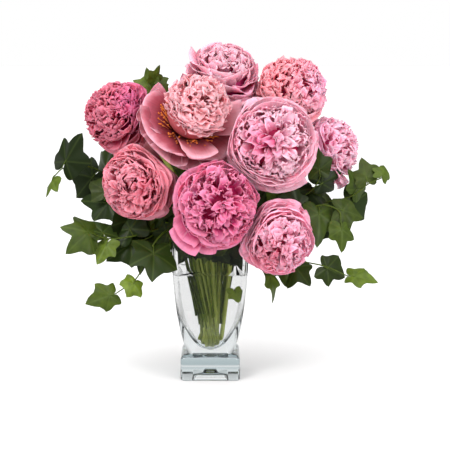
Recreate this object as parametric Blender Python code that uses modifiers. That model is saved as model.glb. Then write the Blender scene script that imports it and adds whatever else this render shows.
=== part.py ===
"""Peonies and ivy standing in water in a square vase of clear pressed glass.

Every named size is in millimetres, and MM turns it into Blender's metres. The origin is the
middle of the foot's underside, +Z is up and -Y is the front.
"""

import math
import random
from collections import namedtuple

import bmesh
import bpy
from mathutils import Matrix, Vector

MM = 0.001
UP = Vector((0, 0, 1))
GAP = 0.3  # left between two pieces that touch
SHARP_ANGLE = 50.0

# ---- Vase: a square block foot under a body that flares like a trumpet ----
FOOT_WIDTH = 83.0
FOOT_HEIGHT = 36.0
FOOT_CORNER = 5.0
FOOT_CHAMFER = 1.6
NECK_WIDTH = 64.0
FLARE = 48.0  # what the body gains in width above the neck
FLARE_HEIGHT = 65.0
BODY_CORNER = 9.0
RIM_HEIGHT = 205.0
RIM_WALL = 3.6
RIM_ROUND = 1.2
BASE_WALL = 18.0  # extra wall at the bottom of the cavity, which thins out upwards
BASE_WALL_FADE = 22.0
CAVITY_FLOOR = 40.0
CAVITY_CORNER = 7.0
CORNER_POINTS = 4
FOOT_CORNER_POINTS = 2  # the foot's corners are cut off flat
BODY_LEVELS = (36.6, 42, 54, 74, 104, 150)
CAVITY_LEVELS = (42, 46, 52, 62, 80, 108, 150, 200)

# ---- Water ----
WATER_LEVEL = 150.0
HOLE_CLEARANCE = 0.45

# ---- Stems in the vase: each runs straight from the mouth to the floor ----
STEM_RADIUS = 3.0
VINE_RADIUS = 1.3
GATHER = 0.35  # how far the stems draw together from the mouth to GATHER_HEIGHT
GATHER_TWIST = 60.0
GATHER_HEIGHT = 50.0
MOUTH_REACH = 44.0  # the stem of a bloom that leans right over stands this far out
MOUTH_LIMIT = 45.0
STEM_SPACING = 20.5  # between stems at the mouth
VINE_SPACING = 11.5
SPREAD_ROUNDS = 300
VINE_END_HEIGHT = 98.0
STEM_STEPS = 4
STEM_RISE = 0.35  # how far a stem holds its line above the mouth, as a share of its span
STEM_ARRIVE = 0.28  # and how far below its bloom it already points at it
FLOOR_CLEARANCE = 2.0
WALL_CLEARANCE = 1.5
FLOOR_STEP = 0.5

# ---- Blooms ----
PETAL_THICKNESS = 0.9
PRESS_MARGIN = 1.3
PRESS_START = 0.55
CORE_RADIUS = 0.52  # the core and the whorls are in units of the bloom's radius
CORE_HEIGHT = 0.40
CORE_CENTRE = -0.08
SEAT = -0.44  # where the petals sit on the stem's receptacle
PETAL_CUP = 0.30
TIP_ROUND = 0.18
LINE_STEP = 0.05  # either side of a point, to find which way the petal's middle line runs
MIDDLE_ROW = 0.60  # how far along a long petal its middle row is
MIDDLE_WIDTH = 0.9  # share of the petal's half width
RUFFLE = 0.07
RUFFLE_RANGE = (0.5, 1.1)
WOBBLE = 0.05
SPIN_WOBBLE = 0.08  # share of the angle between two petals of a whorl

Bloom = namedtuple("Bloom", "centre radius facing form colour")
BLOOMS = {
    "far_left": Bloom((-128, 6, 367), 49.0, (-0.65, -0.60, 0.45), "double", "rose"),
    "low_left": Bloom((-97, -60, 282), 51.5, (-0.50, -0.85, -0.10), "double", "pink"),
    "open_pale": Bloom((-27, -50, 366), 74.0, (0.36, -0.66, 0.66), "raised", "blush"),
    "top": Bloom((17, 44, 409), 59.0, (0.10, -0.50, 0.86), "double", "mauve"),
    "top_right": Bloom((114, 28, 397), 54.0, (0.45, -0.60, 0.65), "double", "salmon"),
    "right_large": Bloom((83, -72, 336), 65.0, (0.10, -0.97, 0.20), "double", "light"),
    "right_edge": Bloom((165, 34, 316), 49.0, (0.90, -0.30, 0.30), "double", "light"),
    "low_centre": Bloom((10, -104, 256), 59.5, (0.20, -0.95, 0.20), "double", "vivid"),
    "low_right": Bloom((92, -84, 209), 51.0, (0.25, -0.93, -0.20), "double", "light"),
    "back_left": Bloom((-62, 94, 312), 56.0, (-0.45, 0.80, 0.30), "double", "pink"),
    "back_right": Bloom((66, 100, 296), 56.0, (0.35, 0.85, 0.20), "double", "rose"),
}

# A petal's middle line is a curve in the plane of the bloom's axis: root, knee, shoulder and
# tip, each as distance from the axis and height. The tip is given by its angle from the axis.
Whorl = namedtuple("Whorl", "count tip_angle reach half_width root knee shoulder rows")
LONG_PETAL = (1, 3, 5)  # points in each row, from the root to the tip
SHORT_PETAL = (1, 4)
SMALL_PETAL = (1, 3)
GUARD = Whorl(5, 88, 1.00, 0.50, (0.12, -0.34), (0.55, -0.48), (0.95, -0.33), LONG_PETAL)
FLAT_GUARD = Whorl(5, 96, 1.00, 0.52, (0.12, -0.37), (0.50, -0.42), (0.85, -0.30), LONG_PETAL)
OUTER = Whorl(5, 62, 0.98, 0.43, (0.12, -0.24), (0.50, -0.30), (0.85, 0.05), LONG_PETAL)
RAISED_OUTER = Whorl(5, 64, 0.78, 0.38, (0.12, 0.10), (0.42, 0.00), (0.64, 0.12), LONG_PETAL)
INNER = Whorl(4, 36, 0.94, 0.33, (0.10, -0.10), (0.45, 0.00), (0.58, 0.40), SHORT_PETAL)
RAISED_INNER = Whorl(4, 34, 0.90, 0.30, (0.10, 0.12), (0.38, 0.20), (0.50, 0.52), SHORT_PETAL)
CENTRE = Whorl(3, 12, 0.88, 0.18, (0.05, 0.08), (0.22, 0.25), (0.25, 0.50), SMALL_PETAL)
FORMS = {
    "double": (GUARD, OUTER, INNER, CENTRE),
    "raised": (FLAT_GUARD, RAISED_OUTER, RAISED_INNER, CENTRE),
}
# The raised bloom's core, from its top down the outside: a ball on a neck on a disc.
RAISED_CORE = ((0, 0.62), (0.28, 0.54), (0.40, 0.30), (0.30, 0.08), (0.15, -0.04),
               (0.15, -0.30), (0.27, -0.34), (0.22, SEAT), (0, SEAT))
CORE_SIDES = 6
CORE_LEVELS = 4
TURN_STEPS = 8
# Its stamens stand in a ring round the neck.
STAMEN_RING = ((0.155, -0.24), (0.27, -0.27), (0.25, -0.285), (0.155, -0.285))
STAMEN_COUNT = 9
STAMEN_ROOT = (0.22, -0.27)
STAMEN_REACH = 0.60
STAMEN_RISE = (16.0, 22.0)  # degrees above the guard petals, in turn
STAMEN_TIP = 1.3  # its anther's radius over its own
STAMEN_RADIUS = 1.1

# ---- Sepals, under each bloom ----
SEPAL_COUNT = 3
SEPAL_LINE = ((0.06, -0.50), (0.34, -0.60), (0.58, -0.56))
SEPAL_HALF_WIDTH = 0.11
SEPAL_ROOT_WIDTH = 0.6  # share of the width at the tip
SEPAL_START = 36.0  # degrees round the bloom's axis
SEPAL_THICKNESS = 1.2
RECEPTACLE = 0.17
RECEPTACLE_LENGTH = 0.16
STEM_SWELL = 1.15

# ---- Ivy ----
LEAF_THICKNESS = 0.8
PETIOLE_HALF_WIDTH = 0.9
PETIOLE_LENGTH = 0.32
LEAF_NOTCH = 0.06  # the stalk meets the blade this far behind the middle of its lobes
LEAF_HEART = 0.08  # and its creases meet this far ahead of it
LEAF_DROOP = 0.14
LEAF_KEEL = 0.12
LAST_LEAF = 0.9  # how far along a vine's last stretch its last leaf may stand
# Half of a leaf's outline, from beside its stalk to its tip: angle from the tip, reach.
GROWN_LEAF = ((126, 0.58), (92, 0.50), (60, 0.86), (30, 0.58), (0, 1.00))
YOUNG_LEAF = ((112, 0.42), (58, 0.72), (28, 0.52), (0, 1.00))
YOUNG_SIZE = 38.0  # smaller leaves than this have three lobes
VINE_STEPS = 2

# Each vine: the points that it passes after the vase's mouth, the way its leaves face, and
# its leaves: place along those points, heading (clockwise from up, seen from the front) and
# length.
Vine = namedtuple("Vine", "points facing leaves")
FRONT = (0.0, -0.90, 0.35)
FRONT_LEFT = (-0.35, -0.85, 0.35)
FRONT_RIGHT = (0.35, -0.85, 0.35)
RIGHT = (0.80, -0.55, 0.10)
LEVEL = (0.10, -1.00, -0.05)
BACK = (0.0, 0.90, 0.35)
BACK_LEFT = (-0.45, 0.80, 0.35)
BACK_RIGHT = (0.45, 0.80, 0.35)
VINES = {
    "left_high": Vine(
        ((-60, 20, 216), (-100, 34, 234), (-130, 38, 257), (-155, 28, 286), (-179, 10, 296),
         (-204, 0, 294), (-216, -6, 284)), FRONT_LEFT,
        ((2.0, -60, 38), (2.7, -15, 40), (3.1, -136, 43), (5.2, 38, 43), (6.0, -160, 25))),
    "left_mid": Vine(
        ((-62, 8, 214), (-101, 6, 230), (-131, -4, 244), (-147, -14, 251)), FRONT,
        ((1.0, 172, 42), (1.3, -145, 44), (2.0, -78, 39), (3.0, 8, 38))),
    "left_out": Vine(
        ((-60, -14, 213), (-106, -30, 203), (-139, -34, 200), (-157, -36, 205)), FRONT,
        ((1.0, -30, 42), (2.0, -165, 30), (2.2, -10, 36), (3.0, -80, 40))),
    "left_low": Vine(
        ((-55, -30, 213), (-73, -50, 201), (-87, -58, 177), (-101, -60, 149),
         (-129, -60, 128)), FRONT,
        ((1.3, -172, 42), (3.0, -150, 25), (4.0, -110, 33))),
    "left_under": Vine(
        ((-59, -4, 213), (-92, -18, 196), (-122, -22, 197)), FRONT,
        ((0.95, -176, 36), (1.2, -125, 40))),
    "top_left": Vine(
        ((-34, 30, 257), (-70, 48, 342), (-83, 50, 390), (-82, 46, 408)), FRONT,
        ((2.4, 70, 29), (2.7, -50, 29), (3.0, 12, 31))),
    "right_high": Vine(
        ((67, 30, 225), (121, 28, 234), (166, 18, 244), (199, 8, 254), (220, 2, 271),
         (239, -4, 281)), FRONT_RIGHT,
        ((1.4, 165, 38), (2.0, 200, 42), (2.6, 130, 40), (3.0, 50, 34), (4.0, -10, 31),
         (5.0, 30, 23))),
    "right_top": Vine(
        ((66, 20, 226), (114, 10, 244), (142, -14, 266), (152, -28, 286)), LEVEL,
        ((1.5, -50, 36), (2.2, 70, 36), (3.0, -8, 31))),
    "right_mid": Vine(
        ((68, 6, 219), (125, -18, 236), (155, -28, 246), (177, -34, 239), (180, -42, 223)),
        FRONT,
        ((1.2, -75, 38), (1.8, 190, 40), (2.7, 100, 36), (4.0, 182, 30))),
    "right_low": Vine(
        ((58, -2, 212), (86, -10, 187), (125, -24, 168), (159, -32, 161), (191, -38, 148)),
        FRONT,
        ((1.4, 175, 36), (2.0, -165, 36), (2.8, 110, 36), (4.0, 110, 32))),
    "right_vase": Vine(
        ((57, -22, 212), (80, -36, 184), (80, -42, 158)), RIGHT,
        ((2.0, -165, 33),)),
    "mouth_front": Vine(
        ((17, -45, 210), (22, -44, 218)), LEVEL,
        ((0.0, 182, 24),)),
    "back_left": Vine(
        ((-50, 52, 214), (-92, 86, 216), (-124, 86, 244)), BACK_LEFT,
        ((0.9, -160, 46), (1.4, -20, 42), (2.0, -75, 42))),
    "back_middle": Vine(
        ((-4, 60, 216), (0, 86, 220), (2, 104, 236)), BACK,
        ((1.0, 160, 44), (2.0, 60, 40))),
    "back_right": Vine(
        ((50, 52, 214), (96, 84, 214), (134, 76, 238)), BACK_RIGHT,
        ((0.9, 160, 46), (1.4, 20, 42), (2.0, 75, 42))),
}

PETAL_COLOURS = {
    "rose": (0.78, 0.20, 0.36),
    "pink": (0.86, 0.36, 0.48),
    "blush": (0.93, 0.62, 0.62),
    "mauve": (0.88, 0.46, 0.60),
    "salmon": (0.92, 0.48, 0.50),
    "light": (0.91, 0.48, 0.58),
    "vivid": (0.84, 0.28, 0.45),
}


def clear_scene():
    for thing in list(bpy.data.objects):
        bpy.data.objects.remove(thing, do_unlink=True)


def new_collection(name):
    group = bpy.data.collections.new(name)
    bpy.context.scene.collection.children.link(group)
    return group


def make_material(name, colour, roughness, alpha=1.0):
    finish = bpy.data.materials.new(name)
    finish.use_nodes = True
    shader = finish.node_tree.nodes["Principled BSDF"]
    shader.inputs["Base Color"].default_value = (*colour, 1.0)
    shader.inputs["Roughness"].default_value = roughness
    shader.inputs["Metallic"].default_value = 0.0
    shader.inputs["Alpha"].default_value = alpha
    return finish


def add_object(name, mesh, group, finish=None):
    thing = bpy.data.objects.new(name, mesh)
    group.objects.link(thing)
    if finish:
        mesh.materials.clear()
        mesh.materials.append(finish)
    return thing


def evaluated_mesh(thing):
    """The object's mesh with its modifiers or its bevel worked out."""
    bpy.context.view_layer.update()
    return bpy.data.meshes.new_from_object(
        thing.evaluated_get(bpy.context.evaluated_depsgraph_get()))


def mesh_from(name, points, faces):
    """A mesh in metres from points in millimetres."""
    mesh = bpy.data.meshes.new(name)
    mesh.from_pydata([Vector(point) * MM for point in points], [], faces)
    return mesh


# ---- Shapes that repeat ----

def rounded_square(half_width, corner, height, corner_points=CORNER_POINTS):
    """Points round a square with round corners, anticlockwise from above."""
    points = []
    for quarter in range(4):
        turn = Matrix.Rotation(math.radians(90 * quarter), 3, 'Z')
        for step in range(corner_points):
            angle = math.radians(90 * step / (corner_points - 1))
            inset = half_width - corner
            point = Vector((inset + corner * math.cos(angle),
                            inset + corner * math.sin(angle), height))
            points.append(turn @ point)
    return points


def loft(name, rings):
    """A closed skin over square rings with round corners, with a flat cap at each end."""
    points = [point for ring in rings for point in ring]
    faces = [tuple(reversed(range(len(rings[0]))))]
    start = 0
    for low, high in zip(rings, rings[1:]):
        faces.extend(ring_skin(start, len(low), start + len(low), len(high)))
        start += len(low)
    faces.append(tuple(range(start, start + len(rings[-1]))))
    return mesh_from(name, points, faces)


def ring_skin(low_start, low_count, high_start, high_count):
    """The faces between two rings, whose corners may have unlike numbers of points."""
    faces = []
    low_corner = low_count // 4
    high_corner = high_count // 4
    for quarter in range(4):
        low = low_start + quarter * low_corner
        high = high_start + quarter * high_corner
        if low_corner == high_corner:
            faces.extend((low + step, low + step + 1, high + step + 1, high + step)
                         for step in range(low_corner - 1))
        else:
            faces.extend(strip(low, low_corner, high, high_corner))
        after = (quarter + 1) % 4
        faces.append((low + low_corner - 1, low_start + after * low_corner,
                      high_start + after * high_corner, high + high_corner - 1))
    return faces


def tube(name, points, radii, bevel_resolution):
    """A closed round rod along the points, with a radius at each."""
    curve = bpy.data.curves.new(name, 'CURVE')
    curve.dimensions = '3D'
    curve.bevel_depth = MM
    curve.bevel_resolution = bevel_resolution
    curve.use_fill_caps = True
    spline = curve.splines.new('POLY')
    spline.points.add(len(points) - 1)
    for knot, point, radius in zip(spline.points, points, radii):
        knot.co = (*(Vector(point) * MM), 1.0)
        knot.radius = radius
    rod = bpy.data.objects.new(name, curve)
    bpy.context.scene.collection.objects.link(rod)
    mesh = evaluated_mesh(rod)
    bpy.data.objects.remove(rod, do_unlink=True)
    bpy.data.curves.remove(curve)
    weld(mesh)
    return mesh


def weld(mesh):
    shape = bmesh.new()
    shape.from_mesh(mesh)
    bmesh.ops.remove_doubles(shape, verts=shape.verts, dist=0.01 * MM)
    shape.to_mesh(mesh)
    shape.free()


def turned(name, profile, size, closed=False):
    """A profile of distance and height, in units of the size, turned round the Z axis."""
    points = [(distance * size, 0, height * size) for distance, height in profile]
    edges = [(knot, knot + 1) for knot in range(len(points) - 1)]
    if closed:
        edges.append((len(points) - 1, 0))
    mesh = bpy.data.meshes.new(name)
    mesh.from_pydata([Vector(point) * MM for point in points], edges, [])
    blank = bpy.data.objects.new(name, mesh)
    bpy.context.scene.collection.objects.link(blank)
    screw = blank.modifiers.new("Turn", 'SCREW')
    screw.axis = 'Z'
    screw.steps = TURN_STEPS
    screw.render_steps = TURN_STEPS
    screw.use_merge_vertices = True
    screw.merge_threshold = 0.01 * MM
    result = evaluated_mesh(blank)
    bpy.data.objects.remove(blank, do_unlink=True)
    weld(result)
    return result


def blade(name, rows, thickness, group):
    """A thin leaf or petal on rows of points, from its root to its tip.

    Two rows may have unlike numbers of points, and the skin between them is triangles, so
    that both of its faces are alike.
    """
    points = []
    faces = []
    for row in rows:
        start = len(points)
        points.extend(row)
        if start:
            faces.extend(strip(start - width, width, start, len(row)))
        width = len(row)
    return thicken(name, points, faces, thickness, group)


def strip(low_start, low_count, high_start, high_count):
    """Triangles that join a row of points to the next row."""
    low = high = 0
    faces = []
    while low < low_count - 1 or high < high_count - 1:
        low_share = (low + 0.5) / max(low_count - 1, 0.5)
        high_share = (high + 0.5) / (high_count - 1)
        if high_share <= low_share:
            faces.append((low_start + low, high_start + high + 1, high_start + high))
            high += 1
        else:
            faces.append((low_start + low, low_start + low + 1, high_start + high))
            low += 1
    return faces


def thicken(name, points, faces, thickness, group):
    """A sheet of triangles given its thickness, as an object to be fused."""
    sheet = add_object(name, mesh_from(name, points, faces), group)
    solid = sheet.modifiers.new("Thickness", 'SOLIDIFY')
    solid.thickness = thickness * MM
    solid.offset = 0.0
    return sheet


def soften(mesh):
    mesh.shade_smooth()
    mesh.set_sharp_from_angle(angle=math.radians(SHARP_ANGLE))


def fuse(name, base_mesh, pieces, parts, finish):
    """Join a node's repeats to its base with one Boolean union, then remove them."""
    node = add_object(name, base_mesh, parts)
    union = node.modifiers.new("Union", 'BOOLEAN')
    union.operation = 'UNION'
    union.operand_type = 'COLLECTION'
    union.collection = pieces
    union.solver = 'EXACT'
    mesh = evaluated_mesh(node)
    node.modifiers.clear()
    node.data = mesh
    mesh.materials.clear()
    mesh.materials.append(finish)
    soften(mesh)
    for piece in list(pieces.objects):
        bpy.data.objects.remove(piece, do_unlink=True)
    bpy.data.collections.remove(pieces)
    return node


def bezier(knots, share):
    """A point on the curve with these two, three or four control points."""
    while len(knots) > 1:
        knots = [first.lerp(second, share) for first, second in zip(knots, knots[1:])]
    return knots[0]


def smooth_line(points, steps):
    """Points along a Catmull-Rom curve through the given ones."""
    knots = [Vector(point) for point in points]
    knots = [2 * knots[0] - knots[1]] + knots + [2 * knots[-1] - knots[-2]]
    line = []
    for before, start, end, after in zip(knots, knots[1:], knots[2:], knots[3:]):
        for step in range(steps):
            share = step / steps
            leave = start + (end - before) / 6
            arrive = end - (after - start) / 6
            line.append(bezier([start, leave, arrive, end], share))
    line.append(knots[-2])
    return line


# ---- Vase and water ----

def body_half_width(height):
    return (NECK_WIDTH + FLARE * (1 - math.exp((FOOT_HEIGHT - height) / FLARE_HEIGHT))) / 2


def cavity_half_width(height):
    wall = RIM_WALL + BASE_WALL * math.exp((CAVITY_FLOOR + 5 - height) / BASE_WALL_FADE)
    return body_half_width(height) - wall


def cavity_ring(height, inset=0.0):
    """The cavity's outline, which goes from a circle at its floor to a square above."""
    half_width = cavity_half_width(height) - inset
    corner = max(CAVITY_CORNER - inset, half_width - 0.8 * (height - CAVITY_FLOOR))
    return rounded_square(half_width, min(corner, half_width), height)


def make_vase(parts):
    foot = FOOT_WIDTH / 2
    levels = ((FOOT_CHAMFER, 0), (0, FOOT_CHAMFER), (0, FOOT_HEIGHT - FOOT_CHAMFER),
              (FOOT_CHAMFER, FOOT_HEIGHT))
    rings = [rounded_square(foot - inset, FOOT_CORNER, height, FOOT_CORNER_POINTS)
             for inset, height in levels]
    rings += [rounded_square(body_half_width(height), BODY_CORNER, height)
              for height in BODY_LEVELS]
    rim = body_half_width(RIM_HEIGHT)
    rings += [rounded_square(rim, BODY_CORNER, RIM_HEIGHT - RIM_ROUND),
              rounded_square(rim - RIM_ROUND, BODY_CORNER - RIM_ROUND, RIM_HEIGHT),
              rounded_square(rim - RIM_WALL + RIM_ROUND, CAVITY_CORNER + RIM_ROUND, RIM_HEIGHT)]
    rings += [cavity_ring(height) for height in reversed(CAVITY_LEVELS)]
    rings.append(rounded_square(cavity_half_width(CAVITY_FLOOR), cavity_half_width(CAVITY_FLOOR),
                                CAVITY_FLOOR))
    glass = make_material("pressed_glass", (0.86, 0.92, 0.93), 0.03, alpha=0.35)
    mesh = loft("vase", rings)
    soften(mesh)
    add_object("vase", mesh, parts, glass)


def make_water(parts, cutters):
    heights = [height for height in CAVITY_LEVELS if height < WATER_LEVEL]
    rings = [cavity_ring(CAVITY_FLOOR + GAP, GAP)]
    rings += [cavity_ring(height, GAP) for height in heights + [WATER_LEVEL]]
    liquid = make_material("water", (0.85, 0.93, 0.93), 0.02, alpha=0.3)
    water = add_object("water", loft("water", rings), parts, liquid)
    holes = water.modifiers.new("Stem holes", 'BOOLEAN')
    holes.operation = 'DIFFERENCE'
    holes.operand_type = 'COLLECTION'
    holes.collection = cutters


def cut_hole(name, bottom, top, radius, bevel_resolution, cutters):
    """The hole that a stem stands in, from just under its cut end to above the water."""
    along = (top - bottom).normalized()
    mesh = tube(name, [bottom - along * HOLE_CLEARANCE, top], [radius + HOLE_CLEARANCE] * 2,
                bevel_resolution)
    cutter = add_object(name, mesh, cutters)
    cutter.hide_render = True
    cutter.display_type = 'WIRE'


# ---- How the stems share the vase ----

def mouth_points():
    """Where each stem and vine crosses the rim's level.

    A stem leaves the mouth under its own bloom, further out the more it leans, and a vine near
    the edge. They are then pressed apart, because they all draw together below.
    """
    places = {}
    for name, bloom in BLOOMS.items():
        centre = Vector(bloom.centre)
        lean = math.atan2(centre.xy.length, centre.z - RIM_HEIGHT)
        reach = MOUTH_REACH * lean / (math.pi / 2)
        places["stem_" + name] = centre.xy.normalized() * reach
    for name, vine in VINES.items():
        places["ivy_" + name] = Vector(vine.points[0]).xy.normalized() * MOUTH_REACH
    names = list(places)
    for _ in range(SPREAD_ROUNDS):
        for index, first in enumerate(names):
            for second in names[index + 1:]:
                apart = places[second] - places[first]
                both_stems = first.startswith("stem") and second.startswith("stem")
                need = STEM_SPACING if both_stems else VINE_SPACING
                short = need - apart.length
                if short > 0:
                    push = apart.normalized() * short / 2
                    places[first] -= push
                    places[second] += push
        for name in names:
            if places[name].length > MOUTH_LIMIT:
                places[name] = places[name].normalized() * MOUTH_LIMIT
    return {name: Vector((*place, RIM_HEIGHT)) for name, place in places.items()}


def gathered(mouth, height):
    """Where the stem through this point of the mouth is at a lower level."""
    share = (RIM_HEIGHT - height) / (RIM_HEIGHT - GATHER_HEIGHT)
    low = Matrix.Rotation(math.radians(GATHER_TWIST), 2) @ mouth.xy * GATHER
    place = mouth.xy.lerp(low, share)
    return Vector((*place, height))


def resting_height(mouth, radius):
    """The lowest level where the stem clears the cavity's sloping floor."""
    height = CAVITY_FLOOR + FLOOR_CLEARANCE
    reach = radius + WALL_CLEARANCE
    while cavity_half_width(height) < gathered(mouth, height).xy.length + reach:
        height += FLOOR_STEP
    return height


# ---- Blooms ----

def bloom_frame(bloom):
    facing = Vector(bloom.facing).normalized()
    return Matrix.Translation(bloom.centre) @ facing.to_track_quat('Z', 'Y').to_matrix().to_4x4()


def press(point, name):
    """Keep a petal's point on its own side of the planes between neighbouring blooms."""
    own = BLOOMS[name]
    centre = Vector(own.centre)
    for other_name, other in BLOOMS.items():
        apart = Vector(other.centre) - centre
        distance = apart.length
        if other_name == name or distance > 2 * (own.radius + other.radius):
            continue
        away = apart / distance
        limit = (distance ** 2 + own.radius ** 2 - other.radius ** 2) / (2 * distance)
        limit = min(limit, (distance + own.radius - other.radius) / 2) - PRESS_MARGIN
        bend = PRESS_START * limit
        along = (point - centre).dot(away)
        if limit < own.radius and along > bend:
            pressed = bend + (limit - bend) * math.tanh((along - bend) / (limit - bend))
            point = point + away * (pressed - along)
    return point


def petal_rows(whorl, radius, turn, draw):
    """A petal as rows of two, three and five points, in the bloom's own frame."""
    angle = math.radians(whorl.tip_angle)
    tip = (whorl.reach * math.sin(angle), whorl.reach * math.cos(angle))
    line = [Vector(knot) for knot in (whorl.root, whorl.knee, whorl.shoulder, tip)]
    wobble = [Vector((draw.uniform(-1, 1), draw.uniform(-1, 1))) * WOBBLE for _ in range(2)]
    line[2] += wobble[0]
    line[3] += wobble[1]
    rows = [[Vector((line[0].x, 0, line[0].y))]]
    if whorl.rows == LONG_PETAL:
        rows.append([petal_point(line, MIDDLE_ROW, side, MIDDLE_WIDTH * whorl.half_width)
                     for side in (-1, 0, 1)])
    crimp = draw.choice((-1, 1)) * RUFFLE
    last = whorl.rows[-1] - 1
    tip_row = []
    for index in range(last + 1):
        side = 2 * index / last - 1
        point = petal_point(line, 1 - TIP_ROUND * side * side, side, whorl.half_width)
        depth = whorl.reach + crimp * (-1) ** index * draw.uniform(*RUFFLE_RANGE)
        tip_row.append(point.normalized() * min(depth, 1.0))
    rows.append(tip_row)
    return [[turn @ (point * radius) for point in row] for row in rows]


def petal_point(line, share, side, half_width):
    """One point of a petal: along its middle line, out to the side and cupped."""
    distance, height = bezier(line, share)
    ahead = bezier(line, min(share + LINE_STEP, 1.0)) - bezier(line, max(share - LINE_STEP, 0.0))
    ahead.normalize()
    inward = Vector((-ahead.y, 0, ahead.x))
    cup = PETAL_CUP * half_width * side * side
    return Vector((distance, half_width * side, height)) + inward * cup


def make_bloom(name, bloom, parts):
    draw = random.Random(name)
    frame = bloom_frame(bloom)
    petals = new_collection("petals_" + name)
    for level, whorl in enumerate(FORMS[bloom.form]):
        start = draw.uniform(0, 360)
        for index in range(whorl.count):
            wobble = draw.uniform(-SPIN_WOBBLE, SPIN_WOBBLE)
            spin = start + 360 * (index + wobble) / whorl.count
            turn = Matrix.Rotation(math.radians(spin), 4, 'Z')
            rows = petal_rows(whorl, bloom.radius, turn, draw)
            rows = [[press(frame @ point, name) for point in row] for row in rows]
            blade(f"petal_{level}_{index}", rows, PETAL_THICKNESS, petals)
    core = make_core(bloom)
    core.transform(scaled_frame(frame))
    finish = make_material("petals_" + name, PETAL_COLOURS[bloom.colour], 0.6)
    fuse("bloom_" + name, core, petals, parts, finish)


def scaled_frame(frame):
    """The frame for a mesh that is in metres already."""
    result = frame.copy()
    result.translation *= MM
    return result


def make_core(bloom):
    """What the petals' roots are sunk into, with a flat seat below."""
    if bloom.form == "raised":
        return turned("core", RAISED_CORE, bloom.radius)
    shape = bmesh.new()
    bmesh.ops.create_uvsphere(shape, u_segments=CORE_SIDES, v_segments=CORE_LEVELS,
                              radius=1)
    for vertex in shape.verts:
        vertex.co.x *= CORE_RADIUS
        vertex.co.y *= CORE_RADIUS
        vertex.co.z = max(CORE_CENTRE + CORE_HEIGHT * vertex.co.z, SEAT)
        vertex.co *= bloom.radius * MM
    mesh = bpy.data.meshes.new("core")
    shape.to_mesh(mesh)
    shape.free()
    return mesh


def make_stamens(name, parts):
    """A ring of golden stamens between the flat guard petals and the raised ball."""
    bloom = BLOOMS[name]
    frame = bloom_frame(bloom)
    spikes = new_collection("spikes")
    for index in range(STAMEN_COUNT):
        turn = Matrix.Rotation(math.radians(360 * index / STAMEN_COUNT), 4, 'Z')
        rise = math.tan(math.radians(STAMEN_RISE[index % 2]))
        distance, height = STAMEN_ROOT
        root = Vector((distance, 0, height))
        tip = Vector((STAMEN_REACH, 0, height + (STAMEN_REACH - distance) * rise))
        line = [frame @ (turn @ (root * bloom.radius)), frame @ (turn @ (tip * bloom.radius))]
        mesh = tube("stamen", line, [STAMEN_RADIUS, STAMEN_TIP * STAMEN_RADIUS], 0)
        add_object(f"stamen_{index}", mesh, spikes)
    ring = turned("stamens", STAMEN_RING, bloom.radius, closed=True)
    ring.transform(scaled_frame(frame))
    finish = make_material("stamens", (0.85, 0.55, 0.12), 0.6)
    fuse("stamens", ring, spikes, parts, finish)


def make_stem(name, bloom, mouth, parts, cutters, finish):
    """A stem from the vase's floor to its receptacle, with the sepals under the bloom."""
    frame = bloom_frame(bloom)
    foot = gathered(mouth, resting_height(mouth, STEM_RADIUS))
    leave = (mouth - foot).normalized()
    facing = (frame.to_3x3() @ UP)
    end = frame @ (UP * (SEAT * bloom.radius - GAP))
    span = (end - mouth).length
    knots = [mouth, mouth + leave * STEM_RISE * span, end - facing * STEM_ARRIVE * span, end]
    line = [foot] + [bezier(knots, step / STEM_STEPS) for step in range(STEM_STEPS)]
    radii = [STEM_RADIUS] * len(line)
    line += [end - facing * RECEPTACLE_LENGTH * bloom.radius, end]
    radii += [STEM_SWELL * STEM_RADIUS, RECEPTACLE * bloom.radius]
    cut_hole("hole_" + name, foot, mouth, STEM_RADIUS, 1, cutters)
    sepals = new_collection("sepals_" + name)
    knots = [Vector((distance, 0, height)) for distance, height in SEPAL_LINE]
    for index in range(SEPAL_COUNT):
        turn = Matrix.Rotation(math.radians(SEPAL_START + 360 * index / SEPAL_COUNT), 4, 'Z')
        rows = []
        for share, width in ((0.0, SEPAL_ROOT_WIDTH), (1.0, 1.0)):
            middle = bezier(knots, share)
            side = Vector((0, SEPAL_HALF_WIDTH * width, 0))
            rows.append([frame @ (turn @ ((middle + side * way) * bloom.radius))
                         for way in (-1, 1)])
        blade(f"sepal_{index}", rows, SEPAL_THICKNESS, sepals)
    fuse("stem_" + name, tube("stem_" + name, line, radii, 1), sepals, parts, finish)


# ---- Ivy ----

def leaf_sheet(length, root, along, facing):
    """Points and faces of a lobed leaf on its stalk; the stalk starts at the root point."""
    along = (along - facing * along.dot(facing)).normalized()
    across = along.cross(facing)
    half = GROWN_LEAF if length > YOUNG_SIZE else YOUNG_LEAF
    whole = half + tuple((-angle, reach) for angle, reach in reversed(half[:-1]))
    base = root + along * length * PETIOLE_LENGTH
    spread = [(length * reach * math.sin(math.radians(angle)),
               length * reach * math.cos(math.radians(angle))) for angle, reach in whole]
    notch = -LEAF_NOTCH * length
    flat = [(0, LEAF_HEART * length), (PETIOLE_HALF_WIDTH, notch)] + spread
    flat.append((-PETIOLE_HALF_WIDTH, notch))
    points = []
    for side, ahead in flat:
        away = math.hypot(side, ahead) / length
        droop = length * (LEAF_DROOP * away ** 2 + LEAF_KEEL * abs(side) / length)
        points.append(base + across * side + along * ahead - facing * droop)
    stalk = len(points)
    points.append(root - across * PETIOLE_HALF_WIDTH)
    points.append(root + across * PETIOLE_HALF_WIDTH)
    rim = list(range(1, stalk))
    faces = [(0, first, second) for first, second in zip(rim, rim[1:] + rim[:1])]
    faces.append((stalk - 1, stalk, 1))
    faces.append((stalk, stalk + 1, 1))
    return points, faces


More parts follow.
